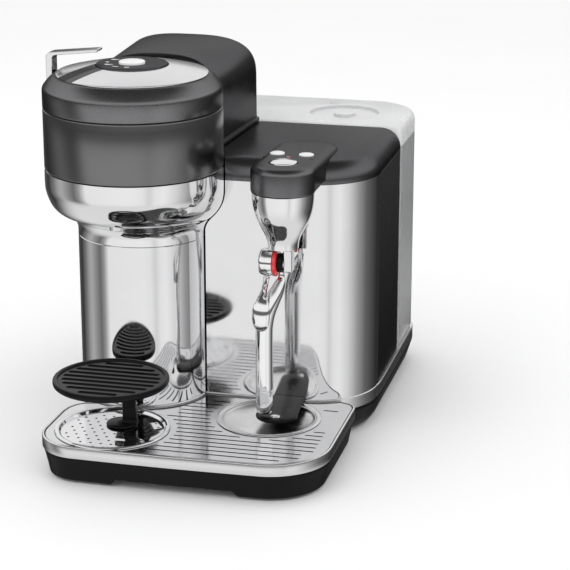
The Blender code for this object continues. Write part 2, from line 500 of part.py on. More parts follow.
GRIP = [(111.0, -17.0, 146.4, 2.8, 2.6), (111.2, -21.5, 141.5, 2.3, 2.2), (111.6, -28.8, 137.5, 2.6, 2.3), (112.0, -36.0, 133.5, 4.2, 2.2), (112.1, -39.2, 128.0, 6.4, 2.6),
        (112.1, -40.1, 121.0, 7.1, 3.0), (112.0, -39.8, 114.0, 6.2, 2.8), (112.0, -39.0, 110.0, 3.8, 2.0), (112.0, -38.6, 108.6, 1.3, 1.0)]
node("wand_grip", stack([[(x + a * math.cos(2 * math.pi * k / 16), y + b * math.sin(2 * math.pi * k / 16), z) for k in range(16)] for x, y, z, a, b in GRIP]), chrome("grip"), RIG_WAND)

tongue = node("sensor_tongue", stack([at(arc(120.2, -22.9, 16.4 - d, 180, 360, 12) + [(133.0 - d, PANEL_Y - 0.4), (107.4 + d, PANEL_Y - 0.4)], z) for d, z in ((0.6, 33.3), (0.0, 33.8), (0.0, 35.0), (0.8, 35.7))]), black("tongue", 0.35))
boolean(tongue, turned(120.6, -29.0, [(0, 34.1), (4.0, 34.1), (4.0, 40.0), (0, 40.0)], 20))
node("temperature_sensor", turned(120.6, -29.0, [(0, 34.4), (3.7, 34.4), (3.7, 36.0), (2.7, 36.5), (0, 36.7)], 20), chrome("sensor"))

# ---- drip tray: bucket, rim, plates ----
t_out = tray_outline()
tray = node("tray_shell", stack([at(inset(t_out, 6.4), 0.9), at(inset(t_out, 5.2), 2.0), at(inset(t_out, 1.8), 18.0), at(inset(t_out, 1.0), 21.0), at(inset(t_out, 1.0), BASE_TOP - 0.2),
                                 at(inset(t_out, 5.2), BASE_TOP - 0.2), at(inset(t_out, 9.0), 10.5)]), black("tray black"), RIG_TRAY)
boolean(tray, block(-14.0, 152.0, -96.0, 80.0, -1.0, 7.2), "DIFFERENCE", RIG_TRAY)
boolean(tray, stack([[(x0, y, z) for x0, z in ((9.5, -1.0), (115.5, -1.0), (108.4, 6.6), (16.6, 6.6))] for y in (-130.0, -97.5)]), "DIFFERENCE", RIG_TRAY)
node("tray_rim", stack([at(inset(t_out, 0.4), BASE_TOP + 0.1), at(t_out, BASE_TOP + 1.0), at(t_out, TRAY_TOP - 0.7), at(inset(t_out, 0.6), TRAY_TOP), at(inset(t_out, 1.6), TRAY_TOP),
                        at(inset(t_out, 1.6), BASE_TOP + 0.1)], True), brushed("tray rim steel"), RIG_TRAY)
plate = inset(t_out, 1.9)
grid = node("drip_grid", stack([at(plate, TRAY_TOP - 2.4), at(plate, TRAY_TOP - 0.2)]), chrome("drip grid"), RIG_TRAY)
boolean(grid, turned(CUP_X, CUP_Y, [(0, 20), (41.8, 20), (41.8, 40), (0, 40)], 32), "DIFFERENCE", RIG_TRAY)
boolean(grid, turned(DISH_X, DISH_Y, [(0, 20), (36.8, 20), (36.8, 40), (0, 40)], 32), "DIFFERENCE", RIG_TRAY)


def free_runs(y, x0, x1, margin):
    """The stretches of a line of slots that are clear of the cup plate and the dish."""
    runs = [(x0, x1)]
    for cx, cy, r in ((CUP_X, CUP_Y, 45.0), (DISH_X, DISH_Y, DISH_R)):
        r += margin
        if abs(y - cy) >= r:
            continue
        half = math.sqrt(r * r - (y - cy) ** 2)
        runs = [piece for a, b in runs for piece in ((a, min(b, cx - half)), (max(a, cx + half), b)) if piece[1] - piece[0] > 9.0]
    return runs


slots = []
for row in range(15):
    y = -107.0 + row * 7.9
    left_end = -38.0 if y < -50 else 20.0 if y < -29 else 41.0 if y < -2 else 60.0
    for x0, x1 in free_runs(y, left_end, 163.0 if y > -95 else 146.0, 6.0):
        slots.append(block(x0, x1, y - 1.1, y + 1.1, 27.0, 34.0))
boolean(grid, joined(*slots), "DIFFERENCE", RIG_TRAY)

cup_plate = node("cup_plate", turned(CUP_X, CUP_Y, [(0, 28.2), (41.4, 28.2), (41.4, 31.9), (45.0, 31.9), (45.0, 32.6), (43.6, 33.2), (41.2, 32.7), (39.8, 30.2), (0, 30.2)], 32), chrome("cup plate"), RIG_TRAY)
holes = []
for ring, (r, count) in enumerate(((32.0, 10), (18.0, 6))):
    for k in range(count):
        a = 2 * math.pi * (k + 0.5 * (ring % 2)) / count
        holes.append(turned(CUP_X + r * math.cos(a), CUP_Y + r * math.sin(a), [(0, 26.0), (3.0, 26.0), (3.0, 31.5), (0, 31.5)], 6))
boolean(cup_plate, joined(*holes), "DIFFERENCE", RIG_TRAY)
dish = node("steam_dish", turned(DISH_X, DISH_Y, [(0, 25.4), (24.0, 25.8), (36.4, 27.6), (36.4, 31.9), (DISH_R, 31.9), (DISH_R, 32.3), (40.0, 32.9), (37.6, 32.4), (34.5, 29.6), (24.0, 27.6), (0, 27.0)], 28), chrome("dish"), RIG_TRAY)
boolean(dish, block(DISH_X - 6.6, DISH_X + 10.8, DISH_Y - 33.2, DISH_Y - 24.6, 21.0, 39.0), "DIFFERENCE", RIG_TRAY)

# ---- cup support: a grid platform on a stem that stands in the cup plate ----
RIG_CUP = empty("cup_support_slide", (CUP_X, CUP_Y, 60.0), RIG_TRAY)
ring = node("cup_support", turned(CUP_X, CUP_Y, [(0, 69.4), (41.4, 69.4), (43.0, 68.4), (44.4, 69.0), (SUPPORT_R, 70.4), (SUPPORT_R, SUPPORT_TOP - 1.0), (44.0, SUPPORT_TOP), (41.5, SUPPORT_TOP), (41.0, 72.6), (0, 72.6)], 32), black("support", 0.3), RIG_CUP)
bars = []
for k in range(-4, 5):
    y = k * 8.3
    half = math.sqrt(39.0 ** 2 - (abs(y) + 2.5) ** 2)
    bars.append(block(CUP_X - half, CUP_X + half, CUP_Y + y - 2.5, CUP_Y + y + 2.5, 64.0, 76.0))
boolean(ring, joined(*bars), "DIFFERENCE", RIG_CUP)
stem = node("support_stem", turned(4.5, -60.0, [(0, 30.4), (11.8, 30.4), (12.0, 31.2), (11.0, 32.6), (0, 33.5)], 24), black("stem", 0.35), RIG_CUP)
boolean(stem, block(5.9, 16.6, -63.0, -57.0, 31.0, 69.2, 0.8), "UNION", RIG_CUP)
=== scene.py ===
"""Looks of the pod coffee machine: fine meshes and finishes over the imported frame, with its studio and camera."""
import bpy, bmesh, math, random
from mathutils import Vector, Matrix


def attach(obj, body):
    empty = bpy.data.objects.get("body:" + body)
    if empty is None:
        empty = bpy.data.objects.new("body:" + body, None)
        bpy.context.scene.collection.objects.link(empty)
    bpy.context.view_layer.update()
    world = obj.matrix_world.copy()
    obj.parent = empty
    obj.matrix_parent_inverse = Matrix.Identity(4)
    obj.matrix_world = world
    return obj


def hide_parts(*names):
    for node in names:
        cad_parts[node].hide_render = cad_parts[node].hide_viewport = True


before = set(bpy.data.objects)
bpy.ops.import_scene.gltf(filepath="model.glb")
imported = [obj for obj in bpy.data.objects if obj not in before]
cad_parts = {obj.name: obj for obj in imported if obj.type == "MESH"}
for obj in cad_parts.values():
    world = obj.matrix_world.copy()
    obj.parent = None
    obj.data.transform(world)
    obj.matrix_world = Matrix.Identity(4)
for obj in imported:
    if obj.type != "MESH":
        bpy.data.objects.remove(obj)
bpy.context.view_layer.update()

MM = 0.001
OX, OY = 57.0, 73.6          # head axis to the part's origin
HEAD_R = 70.0
COL_X, COL_Y, COL_R = -1.4, 25.4, 52.5
RIGHT_X, LEFT_X, PANEL_Y, CORNER_R = 182.5, -54.0, 19.0, 52.0
CUP_X, CUP_Y = 1.4, -73.6
DISH_X, DISH_Y, DISH_R = 113.8, -22.6, 41.3
STEAM_X, STEAM_Y, STEAM_R = 123.5, -15.0, 25.0
WAND_Z = 157.5
TRAY_TOP = 31.7
LID_AXIS = (0.0, 63.5, 291.5)

# ------------------------------------------------------------------ materials
class Mat:
    def __init__(self, name, base=(0.5, 0.5, 0.5), rough=0.4, metal=0.0, **sockets):
        self.m = bpy.data.materials.new(name)
        self.m.use_nodes = True
        self.t = self.m.node_tree
        self.b = next(n for n in self.t.nodes if n.type == "BSDF_PRINCIPLED")
        self.b.inputs["Base Color"].default_value = (*base, 1)
        self.b.inputs["Roughness"].default_value = rough
        self.b.inputs["Metallic"].default_value = metal
        for k, v in sockets.items():
            self.b.inputs[k.replace("_", " ")].default_value = v
        self.base, self.rough = base, rough

    def new(self, kind, **props):
        n = self.t.nodes.new(kind)
        for k, v in props.items():
            setattr(n, k, v)
        return n

    def link(self, a, b):
        self.t.links.new(a, b)

    def coords(self, scale=(1, 1, 1), rotate=(0, 0, 0)):
        c = self.new("ShaderNodeTexCoord")
        m = self.new("ShaderNodeMapping")
        m.inputs["Scale"].default_value = scale
        m.inputs["Rotation"].default_value = rotate
        self.link(c.outputs["Object"], m.inputs["Vector"])
        return m.outputs["Vector"]

    def noise(self, vec, scale=1.0, detail=3.0, rough=0.55):
        n = self.new("ShaderNodeTexNoise")
        n.inputs["Scale"].default_value = scale
        n.inputs["Detail"].default_value = detail
        n.inputs["Roughness"].default_value = rough
        self.link(vec, n.inputs["Vector"])
        return n.outputs["Fac"]

    def remap(self, fac, a, b, lo=0.3, hi=0.7):
        n = self.new("ShaderNodeMapRange")
        n.inputs["From Min"].default_value, n.inputs["From Max"].default_value = lo, hi
        n.inputs["To Min"].default_value, n.inputs["To Max"].default_value = a, b
        self.link(fac, n.inputs["Value"])
        return n.outputs["Result"]

    def math(self, op, a, b=None):
        n = self.new("ShaderNodeMath", operation=op)
        for i, v in enumerate((a, b)):
            if v is None:
                continue
            if isinstance(v, (int, float)):
                n.inputs[i].default_value = v
            else:
                self.link(v, n.inputs[i])
        return n.outputs[0]

    def mix(self, fac, a, b):
        n = self.new("ShaderNodeMix", data_type="RGBA")
        self.link(fac, n.inputs["Factor"]) if not isinstance(fac, float) else setattr(n.inputs["Factor"], "default_value", fac)
        for sock, v in ((n.inputs[6], a), (n.inputs[7], b)):
            if isinstance(v, tuple):
                sock.default_value = (*v, 1)
            else:
                self.link(v, sock)
        return n.outputs[2]

    def colour(self, out):
        self.link(out, self.b.inputs["Base Color"])
        return self

    def roughness(self, out):
        self.link(out, self.b.inputs["Roughness"])
        return self

    def bump(self, fac, strength, dist=0.0002):
        n = self.new("ShaderNodeBump")
        n.inputs["Strength"].default_value = strength
        n.inputs["Distance"].default_value = dist
        self.link(fac, n.inputs["Height"])
        self.link(n.outputs["Normal"], self.b.inputs["Normal"])
        return self

    def worn(self, colour, light, amount=0.5):
        """A slightly lighter line along convex edges."""
        g = self.new("ShaderNodeNewGeometry")
        edge = self.remap(g.outputs["Pointiness"], 0.0, amount, 0.51, 0.60)
        return self.mix(edge, colour, light)


def chrome(name, base=(0.83, 0.83, 0.84), rough=0.045):
    m = Mat(name, base, rough, 1.0)
    v = m.coords()
    smear = m.noise(v, 26.0, 4.0, 0.6)
    fine = m.noise(v, 900.0, 2.0)
    m.roughness(m.math("ADD", m.remap(smear, rough * 0.6, rough * 1.9, 0.35, 0.7), m.remap(fine, 0.0, 0.012)))
    m.colour(m.mix(m.remap(smear, 0.0, 1.0, 0.3, 0.75), base, tuple(c * 0.965 for c in base)))
    m.bump(m.noise(v, 9.0, 1.0), 0.02, 0.0008)
    return m.m


def brushed(name, base=(0.60, 0.60, 0.61), rough=0.26, scale=(6.0, 6.0, 900.0), strength=0.10, spread=0.14, metal=1.0):
    """Fine parallel scratches: the texture is stretched along the brushing."""
    m = Mat(name, base, rough, metal)
    v = m.coords(scale)
    a, b = m.noise(v, 1.0, 6.0, 0.7), m.noise(m.coords(tuple(s * 2.7 for s in scale)), 1.0, 3.0, 0.6)
    grain = m.math("ADD", m.math("MULTIPLY", a, 0.65), m.math("MULTIPLY", b, 0.35))
    m.colour(m.worn(m.mix(m.remap(grain, 0.0, 1.0, 0.3, 0.7), tuple(c * 0.93 for c in base), tuple(min(1, c * 1.06) for c in base)), tuple(min(1, c * 1.35) for c in base), 0.35))
    m.roughness(m.remap(grain, rough - spread / 2, rough + spread / 2, 0.25, 0.75))
    m.bump(grain, strength, 0.00012)
    return m.m


def plastic(name, base=(0.02, 0.02, 0.021), rough=0.36, grain=1400.0, strength=0.12, edge=None, coat=0.0, level=0.5):
    m = Mat(name, base, rough, 0.0, Coat_Weight=coat, Specular_IOR_Level=level)
    v = m.coords()
    fine, broad = m.noise(v, grain, 2.0), m.noise(v, 18.0, 4.0)
    tint = m.mix(m.remap(broad, 0.0, 1.0), tuple(c * 0.88 for c in base), tuple(c * 1.12 for c in base))
    m.colour(m.worn(tint, edge or tuple(min(1, c * 1.8 + 0.01) for c in base), 0.45))
    m.roughness(m.math("ADD", m.remap(broad, rough - 0.05, rough + 0.05), m.remap(fine, -0.02, 0.03)))
    m.bump(fine, strength, 0.00006)
    return m.m


def dark_metal(name, base=(0.105, 0.105, 0.11), rough=0.33):
    """Dark pearl paint over metal: tiny flakes and a soft sheen."""
    m = Mat(name, base, rough, 1.0, Specular_Tint=(0.45, 0.45, 0.45, 1.0))
    v = m.coords()
    flake, broad = m.noise(v, 3200.0, 1.0), m.noise(v, 22.0, 4.0)
    tint = m.mix(m.remap(flake, 0.0, 1.0, 0.35, 0.65), tuple(c * 0.82 for c in base), tuple(c * 1.2 for c in base))
    m.colour(m.worn(tint, tuple(c * 2.0 for c in base), 0.4))
    m.roughness(m.math("ADD", m.remap(broad, rough - 0.03, rough + 0.05), m.remap(flake, -0.03, 0.03)))
    m.bump(flake, 0.05, 0.00004)
    return m.m


def clear(name, base, rough, weight):
    m = Mat(name, base, rough, 0.0, Transmission_Weight=weight, IOR=1.46)
    v = m.coords()
    haze = m.noise(v, 30.0, 4.0)
    m.roughness(m.remap(haze, rough * 0.7, rough * 1.4))
    m.colour(m.mix(m.remap(haze, 0.0, 1.0), base, tuple(c * 0.95 for c in base)))
    m.bump(m.noise(v, 700.0, 2.0), 0.04, 0.00005)
    return m.m


CHROME = chrome("mat_polished")
CHROME_BOWL = chrome("mat_polished_bowl", (0.86, 0.86, 0.865), 0.05)
DISH = chrome("mat_dish", (0.88, 0.88, 0.885), 0.20)
WANDM = chrome("mat_wand", (0.93, 0.93, 0.935), 0.05)
PANEL = chrome("mat_mirror_panel", (0.82, 0.82, 0.825), 0.055)
PLATE = chrome("mat_tray_plate", (0.74, 0.74, 0.75), 0.11)
DISC = brushed("mat_lid_disc", (0.78, 0.78, 0.79), 0.20, (30.0, 30.0, 30.0), 0.03, 0.08)
BAND = brushed("mat_dark_brushed_band", (0.20, 0.198, 0.20), 0.24, (3.0, 3.0, 2600.0), 0.06, 0.08)
RIM = brushed("mat_brushed_rim", (0.74, 0.74, 0.745), 0.25, (5.0, 5.0, 1200.0), 0.10, 0.14)
DARK = dark_metal("mat_dark_satin", (0.165, 0.165, 0.17), 0.29)
CAPM = dark_metal("mat_lid_cap", (0.20, 0.20, 0.205), 0.26)
HOODM = dark_metal("mat_hood", (0.14, 0.14, 0.145), 0.27)
COVER = dark_metal("mat_cover", (0.135, 0.135, 0.14), 0.28)
BLACK = plastic("mat_black_plastic", (0.0045, 0.0045, 0.005), 0.36, edge=(0.010, 0.010, 0.010), level=0.12)
STRIP = plastic("mat_black_gloss_strip", (0.006, 0.006, 0.0065), 0.22, 900.0, 0.05, edge=(0.008, 0.008, 0.008), level=0.12)
INLAY = plastic("mat_inlay_front", (0.065, 0.065, 0.067), 0.32, 900.0, 0.05, edge=(0.08, 0.08, 0.08), level=0.08)
INLAY_REAR = plastic("mat_inlay_rear", (0.006, 0.006, 0.0065), 0.3, 900.0, 0.05, edge=(0.01, 0.01, 0.01), level=0.08)
RUBBER = plastic("mat_rubber", (0.018, 0.018, 0.018), 0.75, 1800.0, 0.2)
GREY = plastic("mat_grey_plastic", (0.21, 0.21, 0.22), 0.48)
DIAL = dark_metal("mat_dial", (0.10, 0.10, 0.105), 0.28)
RED = plastic("mat_red_disc", (0.62, 0.008, 0.02), 0.20, 900.0, 0.04, (0.85, 0.10, 0.10), 0.6)
WHITE = plastic("mat_lit_button", (0.80, 0.80, 0.81), 0.28, 900.0, 0.03, (0.9, 0.9, 0.9))
TANK = clear("mat_tank", (0.90, 0.905, 0.91), 0.15, 0.78)
TLID = clear("mat_tank_lid", (0.84, 0.845, 0.85), 0.32, 0.22)
SIDE = Mat("mat_side_strip_painted_sheen", (0.01, 0.01, 0.011), 0.30, 0.0, Specular_IOR_Level=0.12)
side_v = SIDE.coords()
sheen_height = SIDE.new("ShaderNodeSeparateXYZ")
SIDE.link(side_v, sheen_height.inputs[0])
# painted reflection: the strip's colour runs from near black at the bottom to dark grey at the top, standing in for the
# reflection gradient on the gloss
SIDE.colour(SIDE.mix(SIDE.remap(sheen_height.outputs["Z"], 0.0, 1.0, 0.05, 0.21), (0.0022, 0.0022, 0.0024), (0.027, 0.027, 0.028)))
SIDE.roughness(SIDE.remap(SIDE.noise(side_v, 24.0, 4.0), 0.24, 0.36))
SIDE.bump(SIDE.noise(side_v, 900.0, 2.0), 0.05, 0.00006)
MARK = plastic("mat_mark_grey", (0.50, 0.50, 0.51), 0.4, 900.0, 0.03)
STEEL_IN = brushed("mat_inner_steel", (0.55, 0.55, 0.56), 0.35)
BOARD = plastic("mat_board", (0.015, 0.12, 0.05), 0.45)
CAST = plastic("mat_cast", (0.42, 0.42, 0.43), 0.5, 600.0, 0.4)

# ------------------------------------------------------------------ outlines
def arc(cx, cy, r, a0, a1, n):
    return [(cx + r * math.cos(math.radians(a0 + (a1 - a0) * i / n)), cy + r * math.sin(math.radians(a0 + (a1 - a0) * i / n))) for i in range(n + 1)]


def circle(cx, cy, r, n=96):
    return [(cx + r * math.cos(2 * math.pi * i / n), cy + r * math.sin(2 * math.pi * i / n)) for i in range(n)]


def rounded(x0, x1, y0, y1, radii, n=16):
    a, b, c, d = radii
    return (arc(x0 + a, y0 + a, a, 180, 270, n) + arc(x1 - b, y0 + b, b, 270, 360, n) + arc(x1 - c, y1 - c, c, 0, 90, n) + arc(x0 + d, y1 - d, d, 90, 180, n))


def inset(points, d):
    out = []
    for i, (x, y) in enumerate(points):
        ax, ay = points[i - 1]
        bx, by = points[(i + 1) % len(points)]
        ux, uy, vx, vy = x - ax, y - ay, bx - x, by - y
        lu, lv = math.hypot(ux, uy) or 1e-9, math.hypot(vx, vy) or 1e-9
        n1, n2 = (-uy / lu, ux / lu), (-vy / lv, vx / lv)
        k = 1 + n1[0] * n2[0] + n1[1] * n2[1]
        out.append((x + d * (n1[0] + n2[0]) / k, y + d * (n1[1] + n2[1]) / k))
    return out


def at(points, z):
    return [(x, y, z(x, y) if callable(z) else z) for x, y in points]


def soft(profile, n=6):
    """A smooth curve through (r, z, ...) points."""
    out = []
    P = [profile[0]] + list(profile) + [profile[-1]]
    for i in range(1, len(P) - 2):
        for k in range(n):
            t = k / n
            a, b, c, d = P[i - 1], P[i], P[i + 1], P[i + 2]
            out.append(tuple(0.5 * (2 * q + (r - p) * t + (2 * p - 5 * q + 4 * r - s) * t * t + (3 * q - p - 3 * r + s) * t ** 3) for p, q, r, s in zip(a, b, c, d)))
    return out + [tuple(profile[-1])]


# ------------------------------------------------------------------ solids
def facing_out(bm):
    bm.normal_update()
    bmesh.ops.recalc_face_normals(bm, faces=bm.faces[:])
    if bm.calc_volume(signed=True) < 0:
        bmesh.ops.reverse_faces(bm, faces=bm.faces[:])
    return bm


def stack(loops, closed=False):
    bm = bmesh.new()
    rings = [[bm.verts.new(p) for p in loop] for loop in loops]
    for a, b in list(zip(rings, rings[1:])) + ([(rings[-1], rings[0])] if closed else []):
        n = max(len(a), len(b))
        for i in range(n):
            j = (i + 1) % n
            if len(a) == 1:
                bm.faces.new((a[0], b[j], b[i]))
            elif len(b) == 1:
                bm.faces.new((a[i], a[j], b[0]))
            else:
                bm.faces.new((a[i], a[j], b[j], b[i]))
    if not closed:
        for end in (rings[0], rings[-1]):
            if len(end) > 2:
                bm.faces.new(end)
    return facing_out(bm)


def turned(cx, cy, profile, n=96, closed=False):
    if not closed:
        if profile[0][0] == 0 and profile[0][1] == profile[1][1]:
            profile = profile[1:]
        if profile[-1][0] == 0 and profile[-1][1] == profile[-2][1]:
            profile = profile[:-1]
    return stack([[(cx, cy, z)] if r == 0 else at(circle(cx, cy, r, n), z) for r, z in profile], closed)


def block(x0, x1, y0, y1, z0, z1):
    return stack([at([(x0, y0), (x1, y0), (x1, y1), (x0, y1)], z) for z in (z0, z1)])


def rod(axis, centre, profile, n=48, closed=False):
    bm = turned(0, 0, profile, n, closed)
    for v in bm.verts:
        x, y, z = v.co
        v.co = (z, centre[1] + x, centre[2] + y) if axis == "X" else (centre[0] + x, z, centre[2] + y)
    return facing_out(bm)


def swept(path, n=32):
    loops, side = [], None
    for i, (x, y, z, r) in enumerate(path):
        t = (Vector(path[min(i + 1, len(path) - 1)][:3]) - Vector(path[max(i - 1, 0)][:3])).normalized()
        ref = side if side is not None else Vector((1, 0, 0))
        side = (ref - t * ref.dot(t)).normalized()
        up = t.cross(side)
        loops.append([tuple(Vector((x, y, z)) + (side * math.cos(2 * math.pi * k / n) + up * math.sin(2 * math.pi * k / n)) * r) for k in range(n)])
    return stack(loops)


def joined(*parts):
    bm = bmesh.new()
    for part in parts:
        mesh = bpy.data.meshes.new("tmp")
        part.to_mesh(mesh)
        bm.from_mesh(mesh)
        bpy.data.meshes.remove(mesh)
    return bm


def to_object(name, bm):
    for v in bm.verts:
        v.co = ((v.co.x - OX) * MM, (v.co.y - OY) * MM, v.co.z * MM)
    mesh = bpy.data.meshes.new(name)
    bm.to_mesh(mesh)
    bm.free()
    obj = bpy.data.objects.new(name, mesh)
    bpy.context.scene.collection.objects.link(obj)
    return obj


def baked(obj):
    graph = bpy.context.evaluated_depsgraph_get()
    bpy.context.view_layer.update()
    mesh = bpy.data.meshes.new_from_object(obj.evaluated_get(graph))
    obj.modifiers.clear()
    obj.data = mesh
    return obj


def cut(obj, *tools, op="DIFFERENCE"):
    for bm in tools:
        tool = to_object("tool", bm)
        mod = obj.modifiers.new("b", "BOOLEAN")
        mod.operation, mod.object, mod.solver = op, tool, "EXACT"
        baked(obj)
        bpy.data.objects.remove(tool, do_unlink=True)
    return obj


def piece(name, bm, mat, body, nodes=(), bevel=0.0, segments=3, smooth=32.0, cuts=(), adds=()):
    obj = to_object(name, bm)
    cut(obj, *adds, op="UNION")
    cut(obj, *cuts)
    obj.data.materials.clear()
    obj.data.materials.append(mat)
    for p in obj.data.polygons:
        p.material_index = 0
    obj.data.shade_smooth()
    obj.data.set_sharp_from_angle(angle=math.radians(smooth))
    if bevel:
        mod = obj.modifiers.new("edge", "BEVEL")
        mod.width, mod.segments, mod.limit_method, mod.angle_limit = bevel * MM, segments, "ANGLE", math.radians(smooth)
        mod.harden_normals = True
        mod.use_clamp_overlap = True
        mod.miter_outer = "MITER_ARC"
        obj.data.shade_smooth()
    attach(obj, body)
    if nodes:
        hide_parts(*((nodes,) if isinstance(nodes, str) else nodes))
    return obj

# ------------------------------------------------------------------ shared outlines
def body_outline():
    pts = arc(COL_X, COL_Y, COL_R, 180, 353, 60) + [(80.0, PANEL_Y)]
    return pts + arc(RIGHT_X - CORNER_R, PANEL_Y + CORNER_R, CORNER_R, 270, 360, 28)


def base_outline():
    pts = body_outline()[:-1] + [(RIGHT_X + 0.6, PANEL_Y + CORNER_R), (RIGHT_X + 1.5, PANEL_Y + CORNER_R + 12)]
    return pts + arc(RIGHT_X + 1.5 - 45, 265.5 - 45, 45, 0, 90, 22) + arc(LEFT_X + 20, 265.5 - 20, 20, 90, 180, 12)


def tray_outline():
    pts = arc(-50.5 + 34, -118 + 34, 34, 180, 270, 20) + [(20.0, -118.9), (55.0, -119.3), (90.0, -118.9)]
    pts += arc(175.5 - 48, -118 + 48, 48, 270, 360, 24) + arc(175.5 - 12, 13.0, 12, 0, 70, 8)
    pts += arc(RIGHT_X - CORNER_R, PANEL_Y + CORNER_R, CORNER_R + 1.5, -56, -90, 10)
    pts += arc(COL_X, COL_Y, COL_R + 0.5, -8.5, -118, 36)
    return pts + [(-32.0, -22.6), (-39.0, -24.6), (-44.6, -29.6), (-48.6, -37.0), (-50.2, -46.0)]


def stadium(r, y0, y1, n=36):
    return arc(STEAM_X, y0, r, 180, 360, n) + arc(STEAM_X, y1, r, 0, 180, n)


BOWL = soft([(1.0, 52.5, 165.0), (1.0, 52.5, 168.5), (1.0, 53.0, 172.0), (1.0, 54.6, 175.8), (0.97, 57.4, 179.5), (0.72, 60.6, 183.5), (0.46, 64.0, 188.0), (0.29, 67.1, 193.5),
             (0.17, 69.0, 200.0), (0.04, 69.8, 207.0), (0.0, 70.0, 213.0), (0.0, 70.0, 223.8)], 4)


def bowl(grow, n=128):
    return [at(circle(COL_X * t, COL_Y * t, r + grow, n), z) for t, r, z in BOWL]


def tank_outline(d=0.0, n=20):
    return rounded(LEFT_X + 1 + d, RIGHT_X - d, 158.0 + d, 264.5 - d, (6 - min(d, 5), 6 - min(d, 5), 45 - d, 20 - d), n)


def hump_arch(y, wide, top, base, flange=0.0, n=48):
    pts = [(1.5 - wide - flange, base), (1.5 + wide + flange, base)]
    if flange:
        pts += [(1.5 + wide + flange, base + 2.6), (1.5 + wide + 0.2, base + 3.3)]
    for i in range(n + 1):
        a = math.pi * i / n
        c, h = math.cos(a), math.sin(a)
        pts.append((1.5 + wide * math.copysign(abs(c) ** 0.66, c), 266.0 + (top - 266.0) * max(h, 0.0) ** 0.66))
    if flange:
        pts += [(1.5 - wide - 0.2, base + 3.3), (1.5 - wide - flange, base + 2.6)]
    return [(x, y, z) for x, z in pts]


def pill(x0, x1, y, w, z0, z1, n=8):
    """A slot cutter or bar with round ends, along X."""
    return stack([at(arc(x0 + w, y, w, 90, 270, n) + arc(x1 - w, y, w, -90, 90, n), z) for z in (z0, z1)])


def slab(points, z0, z1, edge=0.0):
    if not edge:
        return stack([at(points, z0), at(points, z1)])
    return stack([at(inset(points, edge), z0), at(points, z0 + edge), at(points, z1 - edge), at(inset(points, edge * 0.3), z1 - edge * 0.3), at(inset(points, edge), z1)])


# ------------------------------------------------------------------ base and its steel band
out_b = base_outline()
piece("Base", stack([at(inset(out_b, d), z) for d, z in ((8.2, 2.3), (7.0, 3.0), (6.0, 4.0), (3.8, 10.0), (1.0, 19.0), (0.3, 21.0), (0.5, 22.0), (4.0, 22.0), (12.0, 6.5))]), BLACK, "chassis", "base_pan", 0.3)
piece("Base.Sled", slab([(-12.0, -94.0), (150.0, -94.0), (150.0, 80.0), (-12.0, 80.0)], 2.4, 6.4, 0.8), BLACK, "chassis")
piece("BaseBand", stack([at(inset(out_b, d), z) for d, z in ((0.5, 22.3), (0.0, 22.9), (0.0, 32.3), (0.5, 33.0), (8.0, 33.0), (8.0, 22.3))], True), RIM, "chassis", "base_band")
for name, (x, y) in {"foot_front_left": (2.0, -84.0), "foot_front_right": (136.0, -84.0), "foot_rear_left": (-30.0, 240.0), "foot_rear_right": (140.0, 225.0)}.items():
    piece("Foot." + name[5:], turned(x, y, [(0, 0), (7.3, 0), (8.2, 0.4), (8.5, 1.0), (8.5, 2.0), (0, 2.0)], 40), RUBBER, "chassis", name)

# ------------------------------------------------------------------ column, bowl, head band
piece("Column", turned(COL_X, COL_Y, [(COL_R - 0.3, 33.3), (COL_R, 33.7), (COL_R, 164.2), (COL_R - 0.4, 164.7), (COL_R - 2.0, 164.7), (COL_R - 2.0, 33.3)], 144, True), CHROME, "chassis", "column_tube")
shell = BOWL
piece("BrewBowl", stack([at(circle(COL_X * t, COL_Y * t, r, 144), z) for t, r, z in shell] + [at(circle(COL_X * t, COL_Y * t, r - 2.6, 144), z) for t, r, z in (shell[-1], shell[24], shell[16], shell[9], shell[0])], True),
      CHROME_BOWL, "chassis", "brew_bowl", cuts=(turned(0, -46.0, [(0, 170), (6.0, 170), (6.0, 206), (0, 206)], 40),))
piece("CoffeeOutlet", turned(0, -46.0, [(5.4, 184.0), (5.7, 184.5), (5.7, 206.8), (3.6, 206.8), (3.6, 184.5), (3.9, 184.0)], 40, True), CHROME, "chassis", "coffee_outlet")
piece("HeadBand", turned(0, 0, [(68.6, 224.1), (69.5, 224.7), (70.0, 226.0), (70.0, 270.4), (69.7, 271.3), (69.0, 271.8), (64.0, 271.8), (64.0, 224.1)], 160, True), BAND, "chassis", "head_band")
piece("CapSeam", turned(0, 0, [(69.35, 271.5), (69.35, 272.35), (66.6, 272.35), (66.6, 271.5)], 128, True), BLACK, "chassis")
piece("HeadSeam", turned(0, 0, [(68.4, 222.9), (68.4, 224.4), (66.0, 224.4), (66.0, 222.9)], 96, True), BLACK, "chassis")

# ------------------------------------------------------------------ polished front panel and sides
corner = arc(RIGHT_X - CORNER_R, PANEL_Y + CORNER_R, CORNER_R, 270, 360, 40)
front_line = [(51.6, PANEL_Y), (90.0, PANEL_Y)] + corner


def skin(points, z0, z1, t):
    def side(i):
        (ax, ay), (bx, by) = points[max(i - 1, 0)], points[min(i + 1, len(points) - 1)]
        k = math.hypot(bx - ax, by - ay)
        return points[i][0] - (by - ay) / k * t, points[i][1] + (bx - ax) / k * t
    loop = points + [side(i) for i in range(len(points))][::-1]
    return stack([at(loop, z0), at(loop, z1)])


